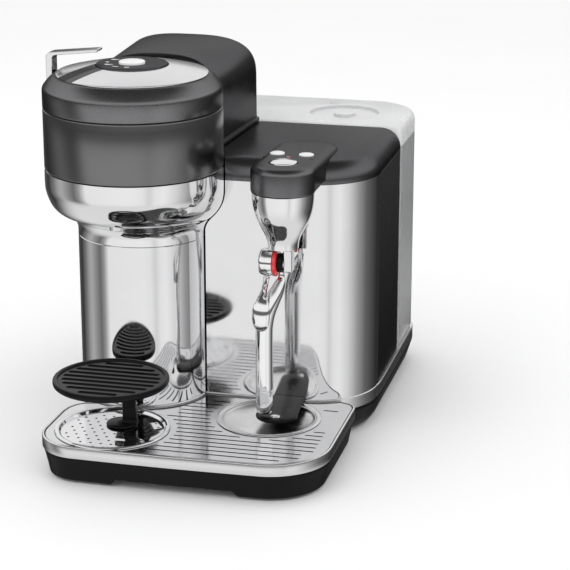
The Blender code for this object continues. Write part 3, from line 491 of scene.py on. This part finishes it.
piece("FrontPanel", skin(front_line, 33.3, 211.4, 2.0), PANEL, "chassis", "front_panel", cuts=(stack(bowl(0.8, 96)),))
piece("SideStrip.R", skin([(RIGHT_X, PANEL_Y + CORNER_R + 0.5), (RIGHT_X, 156.0)], 33.3, 211.4, 3.0), SIDE.m, "chassis", "side_panel_right", 0.4)
piece("SidePanel.L", skin([(LEFT_X, 156.0), (LEFT_X, 42.6)], 33.3, 211.4, 2.5), DARK, "chassis", "side_panel_left", 0.4, cuts=(stack(bowl(0.8, 96)),))
cover_side = body_outline() + [(RIGHT_X, 156.0), (LEFT_X, 156.0)]


def cover_rings(grow=0.0):
    edge = soft([(0.0, 211.7), (0.0, 214.5), (1.2, 219.0), (4.5, 224.0), (9.5, 227.6), (16.0, 229.0)], 3)
    loops = []
    for d, z in edge:
        ring = []
        for (x, y), (ix, iy) in zip(cover_side, inset(cover_side, max(d, 0.001))):
            rolls = x > 60
            ring.append((min(ix, RIGHT_X - d) + grow if rolls else x, iy - grow if rolls and y < 100 else y, z + (grow if z > 211.7 else -grow)))
        loops.append(ring)
    return loops


piece("TopCover", stack(cover_rings()), COVER, "chassis", "top_cover", smooth=40,
      cuts=(turned(0, 0, [(0, 190), (71.0, 190), (71.0, 240), (0, 240)], 96), block(-44.0, 44.0, 78.0, 146.0, 200.0, 240.0)))

# ------------------------------------------------------------------ lid: cap, disc, inlay, dial
CAP = soft([(70.0, 285.4), (69.8, 286.9), (69.0, 288.8), (65.6, 293.0), (62.6, 295.8), (61.2, 296.7), (59.6, 297.0)], 3)
piece("LidCap", turned(0, 0, [(69.0, 272.1), (69.6, 272.4), (70.0, 273.2)] + CAP + [(31.0, 297.0), (31.0, 293.5), (62.0, 293.5), (66.5, 286.0), (66.5, 272.1)], 160, True), CAPM, "lid", "lid_cap", smooth=38,
      cuts=(block(-80, 80, 59.6, 90, 265, 300), block(-73.0, -62.5, -2.6, 10.6, 283.0, 300.0)), adds=(rod("X", LID_AXIS, [(0, -7.5), (2.8, -7.5), (2.8, 7.5), (0, 7.5)], 32), block(-7.5, 7.5, 50.0, 63.5, 288.7, 294.3)))
DISC_TOP = soft([(58.4, 298.3), (50.0, 300.3), (40.0, 302.3), (32.0, 303.6), (28.6, 304.0)], 4)


def disc_solid(drop=0.0, n=160):
    return turned(0, 0, [(59.0, 297.3), (59.0, 297.9 - drop * 0.2), (58.8, 298.15 - drop * 0.6)] + [(r, z - drop) for r, z in DISC_TOP] + [(28.6, 297.3)], n, True)


def inlay_cutter(s0, s1, n0, n1, drop, top=309.0):
    """A shallow recess that follows the cone of the disc, from the dial out towards the front left."""
    c, s, loops = math.cos(math.radians(237)), math.sin(math.radians(237)), []
    for i in range(13):
        along = s0 + (s1 - s0) * i / 12
        side = [n0 + (n1 - n0) * k / 12 for k in range(13)]
        floor_pts = [(along * c - n * s, along * s + n * c, 298.2 + (59.0 - math.hypot(along, n)) * 5.8 / 30.4 - drop) for n in side]
        loops.append([(floor_pts[0][0], floor_pts[0][1], top)] + floor_pts + [(floor_pts[-1][0], floor_pts[-1][1], top)])
    return stack(loops)


piece("LidDisc", disc_solid(), DISC, "lid", "lid_disc", smooth=30, cuts=(inlay_cutter(16.0, 62.0, -21.0, 1.2, 0.5),))
for name, n0, n1, mat in (("LidInlay.Front", -7.6, 1.1, INLAY), ("LidInlay.Rear", -20.9, -7.8, INLAY_REAR)):
    inlay = to_object(name, disc_solid(0.12))
    cut(inlay, inlay_cutter(16.2, 61.8, n0, n1, 0.45), op="INTERSECT")
    inlay.data.materials.clear()
    inlay.data.materials.append(mat)
    inlay.data.shade_smooth()
    inlay.data.set_sharp_from_angle(angle=math.radians(30))
    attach(inlay, "lid")
piece("Dial", turned(0, 0, [(0, 297.5), (27.9, 297.5), (28.0, 304.2), (27.8, 304.8), (27.2, 305.2), (26.4, 305.3), (12.0, 305.3), (11.2, 305.2), (10.8, 304.8), (10.8, 300.5), (0, 300.5)], 120), DIAL, "lid", "control_panel")
piece("DialButton", turned(0, 0, [(0, 302.5), (10.3, 302.5), (10.3, 306.1), (10.0, 306.6), (9.3, 306.95), (6.0, 307.1), (0, 307.15)], 80), WHITE, "brew_button", "brew_button")
marks = []
for a, kind in ((152, "cup"), (186, "drop"), (216, "cup"), (246, "bar"), (276, "ring")):
    x, y = 19.3 * math.cos(math.radians(a)), 19.3 * math.sin(math.radians(a))
    if kind == "cup":
        marks.append(slab([(x - 2.4, y - 1.3), (x + 1.6, y - 1.3), (x + 2.3, y + 1.4), (x - 3.0, y + 1.4)], 304.9, 305.42))
        marks.append(turned(x + 2.7, y, [(0.6, 304.9), (1.2, 304.9), (1.2, 305.42), (0.6, 305.42)], 16, True))
    elif kind == "drop":
        marks.append(turned(x, y, [(0, 304.9), (1.4, 304.9), (1.4, 305.42), (0, 305.42)], 20))
    elif kind == "bar":
        marks.append(pill(x - 2.6, x + 2.6, y, 0.7, 304.9, 305.42))
    else:
        marks.append(turned(x, y, [(1.1, 304.9), (1.9, 304.9), (1.9, 305.42), (1.1, 305.42)], 24, True))
piece("DialMarks", joined(*marks), MARK, "lid")

# lever over the lid
section = [(-69.9, 285.7), (-64.7, 285.7), (-64.7, 304.4), (-64.5, 306.4), (-63.8, 307.8), (-62.4, 308.5), (-27.6, 312.35), (-26.9, 313.6), (-27.2, 314.75), (-65.6, 310.85), (-67.8, 310.3), (-69.2, 309.1), (-69.8, 307.2)]
piece("Lever", stack([[(x, y, z) for x, z in section] for y in (-2.0, 10.0)]), CHROME, "lever", "lid_lever", 0.55, 4, 24)
piece("HingeHousing", turned(0, 0, [(55.0, 272.1), (69.6, 272.3), (70.0, 273.0)] + [(r, z) for r, z in CAP if z < 294.9] + [(63.9, 295.0), (55.0, 295.0)], 160, True), CAPM, "chassis", "hinge_housing",
      cuts=(block(-90, 90, -90, 60.1, 260, 300), block(-8.2, 8.2, 50, 67.2, 287.6, 300),
            stack([[(x, y, z) for y, z in [(50.0, 291.5), (60.0, 291.5)] + arc(63.5, 291.5, 3.5, 180, 90, 12)[1:] + [(63.5, 303.0), (50.0, 303.0)]] for x in (-80.0, 80.0)])))

# ------------------------------------------------------------------ hood over the capsule container
hood_rings = [hump_arch(20.0, 51.0, 298.5, 230.0, 2.5), hump_arch(90.0, 54.4, 300.3, 230.0, 2.5), hump_arch(152.6, 57.5, 301.5, 230.0, 2.5), hump_arch(154.6, 57.2, 301.2, 230.0, 2.4),
              hump_arch(155.8, 56.3, 300.3, 230.0, 2.0), hump_arch(156.4, 55.0, 298.9, 230.0, 1.4)]
piece("Hood", stack(hood_rings), HOODM, "container", "container_hood", 0.5, 3, 34,
      cuts=(turned(0, 0, [(0, 200), (71.4, 200), (71.4, 320), (0, 320)], 128), stack([hump_arch(80.0, 49.8, 296.0, 205.0), hump_arch(152.0, 53.3, 297.4, 205.0)])))

# ------------------------------------------------------------------ water tank
piece("Tank", stack([at(tank_outline(d), z) for d, z in ((1.8, 34.0), (0.6, 34.6), (0.0, 36.0), (0.0, 211.0), (0.4, 211.7), (2.4, 211.7), (2.5, 211.0), (2.5, 38.6), (3.6, 37.0))]), TANK, "tank", "water_tank",
      cuts=(turned(60.0, 200.0, [(0, 20), (7.0, 20), (7.0, 60), (0, 60)], 40),))
piece("TankLid", stack([at(tank_outline(d), z) for d, z in ((0.3, 212.0), (0.0, 212.4), (0.0, 221.5), (0.5, 224.4), (1.6, 226.8), (3.2, 228.3), (5.0, 229.0))]), TLID, "tank_lid", "tank_lid",
      cuts=(stack([at(tank_outline(2.5), 205.0), at(tank_outline(2.5), 222.0), at(tank_outline(5.5), 224.8)]), turned(124.0, 206.0, [(9.0, 226.6), (30.0, 226.6), (30.0, 240.0), (9.0, 240.0)], 72, True)))

piece("TankLidRing", joined(turned(124.0, 206.0, [(28.3, 226.62), (29.9, 226.62), (29.9, 227.0), (28.3, 227.0)], 96, True), turned(124.0, 206.0, [(9.1, 226.62), (10.3, 226.62), (10.3, 227.0), (9.1, 227.0)], 48, True)),
      MARK, "tank_lid")

# ------------------------------------------------------------------ steam head
def steam_top(x, y):
    return 236.6 - (y + 40.0) / 130.0 * 4.4


def steam_ring(d, drop):
    return at(stadium(25.0 - d, STEAM_Y, 65.0), lambda x, y: steam_top(x, y) - drop)


BUTTONS = {"steam_button_large": (122.3, -9.2, 10.8), "steam_button_left": (109.6, 23.0, 6.0), "steam_button_right": (132.8, 23.0, 6.0)}
wells = [turned(x, y, [(0, steam_top(x, y) - 3.6), (r + 0.6, steam_top(x, y) - 3.6), (r + 0.6, steam_top(x, y) + 5), (0, steam_top(x, y) + 5)], 64) for x, y, r in BUTTONS.values()]
piece("SteamCap", stack([at(stadium(24.3, STEAM_Y, 65.0), 214.9), at(stadium(24.9, STEAM_Y, 65.0), 215.6), at(stadium(25.0, STEAM_Y, 65.0), 216.4), steam_ring(0.0, 5.4), steam_ring(0.25, 4.2), steam_ring(1.0, 2.8),
                        steam_ring(2.4, 1.3), steam_ring(4.4, 0.4), steam_ring(7.0, 0.02)]), DARK, "chassis", "steam_head_cap", smooth=40, cuts=[stack(cover_rings(0.35))] + wells)
for (name, (x, y, r)), label in zip(BUTTONS.items(), ("Large", "Left", "Right")):
    z = steam_top(x, y)
    piece("SteamButton." + label, turned(x, y, [(0, z - 2.1), (r, z - 2.1), (r, z + 0.1), (r - 0.3, z + 0.7), (r - 1.0, z + 1.05), (r * 0.5, z + 1.25), (0, z + 1.3)], 64), CHROME if label == "Large" else WHITE, name, name)
for k, (x, y, mat) in enumerate(((103.0, 9.5, BLACK), (121.0, 12.2, RED), (140.0, 9.5, BLACK))):
    z = steam_top(x, y)
    piece("SteamLamp.%d" % k, turned(x, y, [(0, z - 0.4), (1.5, z - 0.4), (1.5, z + 0.12), (1.2, z + 0.2), (0, z + 0.25)], 24), mat, "chassis")
steam_bowl = soft([(12.0, 170.1), (12.15, 173.0), (12.9, 176.6), (14.6, 181.0), (17.8, 187.0), (21.0, 193.4), (23.0, 200.0), (24.1, 207.4), (24.4, 214.6)], 5)
piece("SteamBowl", turned(STEAM_X, STEAM_Y, [(0, 170.0), (11.6, 170.0)] + steam_bowl + [(20.0, 214.6), (20.0, 204.0), (0, 190.0)], 96), CHROME_BOWL, "chassis", "steam_head_bowl")
piece("WandFork", block(124.6, 131.6, -20.4, -9.6, 151.0, 169.7), CHROME, "chassis", "wand_fork", 1.6, 4, cuts=(rod("X", (0, STEAM_Y, WAND_Z), [(0, 110), (3.9, 110), (3.9, 129.5), (0, 129.5)], 32),))

# ------------------------------------------------------------------ steam wand
C = (0, STEAM_Y, WAND_Z)
piece("WandBarrel", rod("X", C, [(0, 105.6), (8.6, 105.6), (9.6, 106.1), (10.3, 107.2), (10.6, 108.6), (10.6, 110.6), (10.25, 110.8), (10.25, 111.5), (10.6, 111.7), (10.6, 116.2), (10.2, 116.6), (3.7, 116.6), (3.7, 129.0), (0, 129.0)], 72), WANDM, "wand", "wand_barrel")
piece("WandDisc", rod("X", C, [(4.0, 116.9), (10.4, 116.9), (10.9, 117.3), (11.0, 118.2), (10.7, 119.2), (10.0, 119.6), (4.0, 119.6)], 72, True), RED, "wand", "wand_disc")
path = soft([(122.3, -15.0, 150.8, 2.3), (122.3, -15.3, 146.3, 2.6), (122.0, -16.8, 142.4, 4.2), (120.0, -20.0, 136.0, 5.6), (117.0, -24.0, 129.0, 6.4), (114.2, -27.4, 121.0, 6.7),
             (112.6, -29.2, 112.0, 6.8), (112.2, -29.6, 104.0, 6.8), (112.2, -29.6, 76.0, 6.8)], 6)[:-1] + [(112.2, -29.6, z, r) for z, r in ((76.0, 6.8), (58.8, 6.8), (58.5, 6.4), (57.8, 6.4), (57.5, 6.8), (42.6, 6.8), (41.0, 6.65), (39.6, 6.0), (38.8, 5.0), (38.4, 3.2))]
piece("WandTube", swept(path, 48), WANDM, "wand", "wand_tube", smooth=50)
piece("WandHub", rod("X", C, [(4.0, 119.9), (7.2, 119.9), (7.6, 120.4), (7.6, 123.8), (7.2, 124.2), (4.0, 124.2)], 48, True), BLACK, "wand")
grip = soft([(111.0, -17.0, 146.4, 2.8, 2.6), (111.2, -21.5, 141.5, 2.3, 2.2), (111.6, -28.8, 137.5, 2.6, 2.3), (112.0, -36.0, 133.5, 4.2, 2.2), (112.1, -39.2, 128.0, 6.4, 2.6),
             (112.1, -40.1, 121.0, 7.1, 3.0), (112.0, -39.8, 114.0, 6.2, 2.8), (112.0, -39.0, 110.0, 3.8, 2.0), (112.0, -38.6, 108.6, 1.3, 1.0)], 5)
piece("WandGrip", stack([[(x + a * math.cos(2 * math.pi * k / 40), y + b * math.sin(2 * math.pi * k / 40), z) for k in range(40)] for x, y, z, a, b in grip]), WANDM, "wand", "wand_grip", smooth=50)

# ------------------------------------------------------------------ tongue with the temperature sensor
tongue = [at(arc(120.2, -22.9, 16.4 - d, 180, 360, 48) + [(133.0 - d, PANEL_Y - 0.4), (107.4 + d, PANEL_Y - 0.4)], z) for d, z in ((0.6, 33.4), (0.1, 33.8), (0.0, 34.2), (0.0, 35.0), (0.25, 35.4), (0.8, 35.7))]
piece("SensorTongue", stack(tongue), STRIP, "chassis", "sensor_tongue", cuts=(turned(120.6, -29.0, [(0, 34.1), (4.1, 34.1), (4.1, 40.0), (0, 40.0)], 40),))
piece("Sensor", turned(120.6, -29.0, [(0, 34.4), (3.8, 34.4), (3.8, 35.9), (3.5, 36.3), (2.6, 36.6), (0, 36.75)], 48), CHROME, "chassis", "temperature_sensor")

# ------------------------------------------------------------------ drip tray
t_out = tray_outline()
piece("TrayShell", stack([at(inset(t_out, d), z) for d, z in ((7.4, 0.9), (6.2, 1.3), (5.2, 2.4), (3.9, 9.0), (1.9, 18.0), (1.0, 21.0), (1.0, 21.8), (5.2, 21.8), (9.0, 10.5))]), BLACK, "tray", "tray_shell", smooth=30,
      cuts=(block(-14.0, 152.0, -96.0, 80.0, -1.0, 7.2), stack([[(x0, y, z) for x0, z in ((9.5, -1.0), (115.5, -1.0), (108.4, 6.6), (16.6, 6.6))] for y in (-130.0, -97.5)])))
piece("TrayRim", stack([at(inset(t_out, d), z) for d, z in ((0.5, 22.1), (0.0, 22.8), (0.0, 30.9), (0.25, 31.4), (0.7, 31.7), (1.6, 31.7), (1.6, 22.1))], True), RIM, "tray", "tray_rim", smooth=40)
plate = inset(t_out, 2.5)


def free_runs(y, x0, x1, margin):
    runs = [(x0, x1)]
    for cx, cy, r in ((CUP_X, CUP_Y, 45.0), (DISH_X, DISH_Y, DISH_R)):
        r += margin
        if abs(y - cy) < r:
            half = math.sqrt(r * r - (y - cy) ** 2)
            runs = [q for a, b in runs for q in ((a, min(b, cx - half)), (max(a, cx + half), b)) if q[1] - q[0] > 8.0]
    return runs


slots = []
for row in range(15):
    y = -107.0 + row * 7.9
    left_end = -36.0 if y < -100 else -38.0 if y < -50 else 20.0 if y < -29 else 41.0 if y < -2 else 60.0
    for x0, x1 in free_runs(y, left_end, 164.0 if y > -85 else 156.0 if y > -100 else 143.0, 5.0):
        slots.append(pill(x0, x1, y, 0.9, 27.0, 34.0))
piece("TrayGrid", stack([at(inset(plate, 0.2), 29.3), at(plate, 29.6), at(plate, 31.2), at(inset(plate, 0.3), 31.5)]), PLATE, "tray", "drip_grid",
      cuts=(turned(CUP_X, CUP_Y, [(0, 20), (41.8, 20), (41.8, 40), (0, 40)], 96), turned(DISH_X, DISH_Y, [(0, 20), (36.8, 20), (36.8, 40), (0, 40)], 96), joined(*slots)))
holes = [turned(CUP_X + 8.2 * (i + 0.5 * (j % 2)), CUP_Y + 7.1 * j, [(0, 26.0), (1.1, 26.0), (1.1, 31.5), (0, 31.5)], 14) for j in range(-5, 6) for i in range(-5, 6) if math.hypot(8.2 * (i + 0.5 * (j % 2)), 7.1 * j) < 36.5]
piece("CupPlate", turned(CUP_X, CUP_Y, [(0, 28.2), (41.4, 28.2), (41.4, 31.9), (45.0, 31.9), (45.0, 32.4), (44.6, 32.9), (43.6, 33.2), (42.4, 33.1), (41.4, 32.6), (40.8, 31.6), (40.2, 30.6), (39.2, 30.2), (0, 30.2)], 120), CHROME, "tray", "cup_plate",
      cuts=(joined(*holes),))
dish_in = soft([(37.6, 32.4), (36.4, 31.2), (34.5, 29.6), (30.0, 28.3), (24.0, 27.6), (12.0, 27.1), (0.01, 27.0)], 4)
drain = [(DISH_X + 2.1 + 8.6 * math.cos(a), DISH_Y - 32.4 + 7.2 * math.sin(a)) for a in [math.pi * i / 24 for i in range(25)]]
piece("SteamDish", turned(DISH_X, DISH_Y, [(0, 25.4), (24.0, 25.8), (36.4, 27.6), (36.4, 31.9), (DISH_R, 31.9), (DISH_R, 32.3), (41.0, 32.6), (40.0, 32.9), (38.8, 32.8)] + dish_in[:-1] + [(0, 27.0)], 128), DISH, "tray", "steam_dish",
      cuts=(stack([at(drain, 21.0), at(drain, 39.0)]),), smooth=40)

# ------------------------------------------------------------------ cup support
bars = []
for k in range(-4, 5):
    y = k * 8.3
    half = math.sqrt(39.0 ** 2 - (abs(y) + 2.5) ** 2)
    bars.append(pill(CUP_X - half, CUP_X + half, CUP_Y + y, 2.5, 64.0, 76.0))
piece("CupSupport", turned(CUP_X, CUP_Y, [(0, 69.6), (41.0, 69.6), (42.4, 68.9), (43.6, 68.9), (44.6, 69.8), (45.0, 71.0), (45.0, 72.9), (44.7, 73.6), (44.0, 74.0), (42.2, 74.0), (41.5, 73.6), (41.0, 72.6), (0, 72.6)], 120), STRIP, "cup_support", "cup_support",
      cuts=(joined(*bars),))
foot = soft([(11.4, 30.45), (12.0, 31.0), (11.9, 31.7), (11.2, 32.4), (8.0, 33.1)], 4)
piece("SupportStem", turned(4.5, -60.0, [(0, 30.4)] + foot + [(0, 33.5)], 64), STRIP, "cup_support", "support_stem",
      adds=(stack([[(x, y, z) for x, y in rounded(11.25 - w, 11.25 + w, -60.0 - t, -60.0 + t, (1.6, 1.6, 1.6, 1.6), 6)] for w, t, z in ((7.0, 4.6, 32.6), (6.3, 3.8, 33.6), (5.6, 3.1, 35.4), (5.4, 3.0, 40.0), (5.4, 3.0, 58.0), (6.2, 3.4, 63.0), (6.8, 3.8, 69.3))]),), smooth=40)

# ------------------------------------------------------------------ finishes on the parts that stay as they are
keep = {"cord_gland": RUBBER, "brew_chamber": GREY, "rotor_bearing": STEEL_IN, "brew_motor": GREY, "hinge_pin": STEEL_IN, "rear_panel": GREY, "pump": STEEL_IN, "thermoblock": CAST, "steam_boiler": STEEL_IN,
        "control_board": BOARD, "flow_meter": GREY, "valve_seat": RUBBER, "spindle": STEEL_IN, "capsule_holder": GREY, "lever_pin": STEEL_IN, "piercing_plate": GREY, "capsule_container": GREY, "tank_valve": RUBBER}
for name, mat in keep.items():
    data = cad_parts[name].data
    data.materials.clear()
    data.materials.append(mat)
    for p in data.polygons:
        p.material_index = 0

# ------------------------------------------------------------------ studio
scene = bpy.context.scene
floor_bm = bmesh.new()
W = 6.0
vs = [floor_bm.verts.new(p) for p in ((-W, -W, 0), (W, -W, 0), (W, W, 0), (-W, W, 0))]
floor_bm.faces.new(vs)
floor_mesh = bpy.data.meshes.new("Floor")
floor_bm.to_mesh(floor_mesh)
floor = bpy.data.objects.new("Floor", floor_mesh)
scene.collection.objects.link(floor)
paper = Mat("mat_floor", (0.93, 0.93, 0.93), 0.75)
paper.colour(paper.mix(paper.remap(paper.noise(paper.coords(), 3.0, 3.0), 0.0, 1.0), (0.925, 0.925, 0.925), (0.94, 0.94, 0.94)))
floor.data.materials.append(paper.m)
floor.visible_glossy = False

world = bpy.data.worlds.new("Studio")
scene.world = world
world.use_nodes = True
wt = world.node_tree
wt.nodes.clear()


def wnode(kind, **props):
    n = wt.nodes.new(kind)
    for k, v in props.items():
        setattr(n, k, v)
    return n


tc, sep = wnode("ShaderNodeTexCoord"), wnode("ShaderNodeSeparateXYZ")
wt.links.new(tc.outputs["Generated"], sep.inputs[0])
azim = wnode("ShaderNodeMath", operation="ARCTAN2")
back = wnode("ShaderNodeMath", operation="MULTIPLY")
back.inputs[1].default_value = -1.0
wt.links.new(sep.outputs["Y"], back.inputs[0])
wt.links.new(sep.outputs["X"], azim.inputs[0])
wt.links.new(back.outputs[0], azim.inputs[1])
turn = wnode("ShaderNodeMapRange")
turn.inputs["From Min"].default_value, turn.inputs["From Max"].default_value = -math.pi, math.pi
wt.links.new(azim.outputs[0], turn.inputs["Value"])
ramp = wnode("ShaderNodeValToRGB")
# what polished metal sees, by the angle from the front (-Y) towards the right (+X), in degrees
around = [(-180, 0.25), (-150, 0.10), (-125, 0.04), (-108, 0.20), (-98, 0.38), (-90, 0.45), (-80, 0.32), (-67, 0.16), (-58, 0.35), (-48, 0.90), (-14, 0.93), (14, 0.95), (28, 0.90), (36, 0.74), (44, 0.90), (55, 0.95),
          (72, 0.74), (92, 0.36), (112, 0.14), (130, 0.08), (150, 0.03), (172, 0.03), (180, 0.12)]
stops = [((a + 180) / 360.0, v) for a, v in around]
for e, (pos, v) in zip((ramp.color_ramp.elements[0], ramp.color_ramp.elements[1]), (stops[0], stops[-1])):
    e.position, e.color = pos, (v, v, v, 1)
for pos, v in stops[1:-1]:
    e = ramp.color_ramp.elements.new(pos)
    e.color = (v, v, v, 1)
wt.links.new(turn.outputs[0], ramp.inputs[0])


def wrange(a, b):
    n = wnode("ShaderNodeMapRange", interpolation_type="SMOOTHSTEP")
    n.inputs["From Min"].default_value, n.inputs["From Max"].default_value = a, b
    wt.links.new(sep.outputs["Z"], n.inputs["Value"])
    return n.outputs[0]


def wmix(fac, a, b):
    n = wnode("ShaderNodeMix", data_type="RGBA")
    wt.links.new(fac, n.inputs["Factor"])
    for sock, v in ((n.inputs[6], a), (n.inputs[7], b)):
        if isinstance(v, float):
            sock.default_value = (v, v, v, 1)
        else:
            wt.links.new(v, sock)
    return n.outputs[2]


below = wmix(wrange(-0.17, -0.07), wmix(wrange(-0.80, -0.45), 0.80, ramp.outputs[0]), 0.13)
sky = wmix(wrange(0.07, 0.21), below, wmix(wrange(0.62, 0.88), 0.92, 0.10))
bands, plain, pick, out = wnode("ShaderNodeBackground"), wnode("ShaderNodeBackground"), wnode("ShaderNodeMixShader"), wnode("ShaderNodeOutputWorld")
path_node = wnode("ShaderNodeLightPath")
wt.links.new(sky, bands.inputs["Color"])
bands.inputs["Strength"].default_value = 1.0
plain.inputs["Color"].default_value = (1, 1, 1, 1)
plain.inputs["Strength"].default_value = 1.0
wt.links.new(path_node.outputs["Is Glossy Ray"], pick.inputs[0])
wt.links.new(plain.outputs[0], pick.inputs[1])
wt.links.new(bands.outputs[0], pick.inputs[2])
wt.links.new(pick.outputs[0], out.inputs["Surface"])


def softbox(name, at_, to, size, power):
    data = bpy.data.lights.new(name, "AREA")
    data.shape, data.size, data.size_y, data.energy = "RECTANGLE", size[0], size[1], power
    lamp = bpy.data.objects.new(name, data)
    scene.collection.objects.link(lamp)
    lamp.location = at_
    lamp.visible_glossy = False
    lamp.rotation_euler = (Vector(to) - Vector(at_)).to_track_quat("-Z", "Y").to_euler()
    return lamp


softbox("Key", (-0.9, -1.6, 1.7), (0, 0, 0.15), (1.1, 1.1), 5)
softbox("Top", (0.0, 0.1, 2.0), (0, 0, 0.1), (1.6, 1.6), 5)
softbox("Fill", (1.9, -0.8, 1.0), (0, 0, 0.15), (0.8, 1.2), 1.5)

cam = bpy.data.cameras.new("Camera")
cam.sensor_width, cam.lens = 36.0, 124.76
camera = bpy.data.objects.new("Camera", cam)
scene.collection.objects.link(camera)
camera.location = (0.41538, -1.5059, 0.59452)
camera.rotation_euler = (math.pi / 2 - 0.30213, 0.0, 0.24034)
scene.camera = camera
scene.view_settings.view_transform = "Standard"
scene.view_settings.look = "None"
scene.view_settings.exposure = 0.0
scene.view_settings.gamma = 1.0
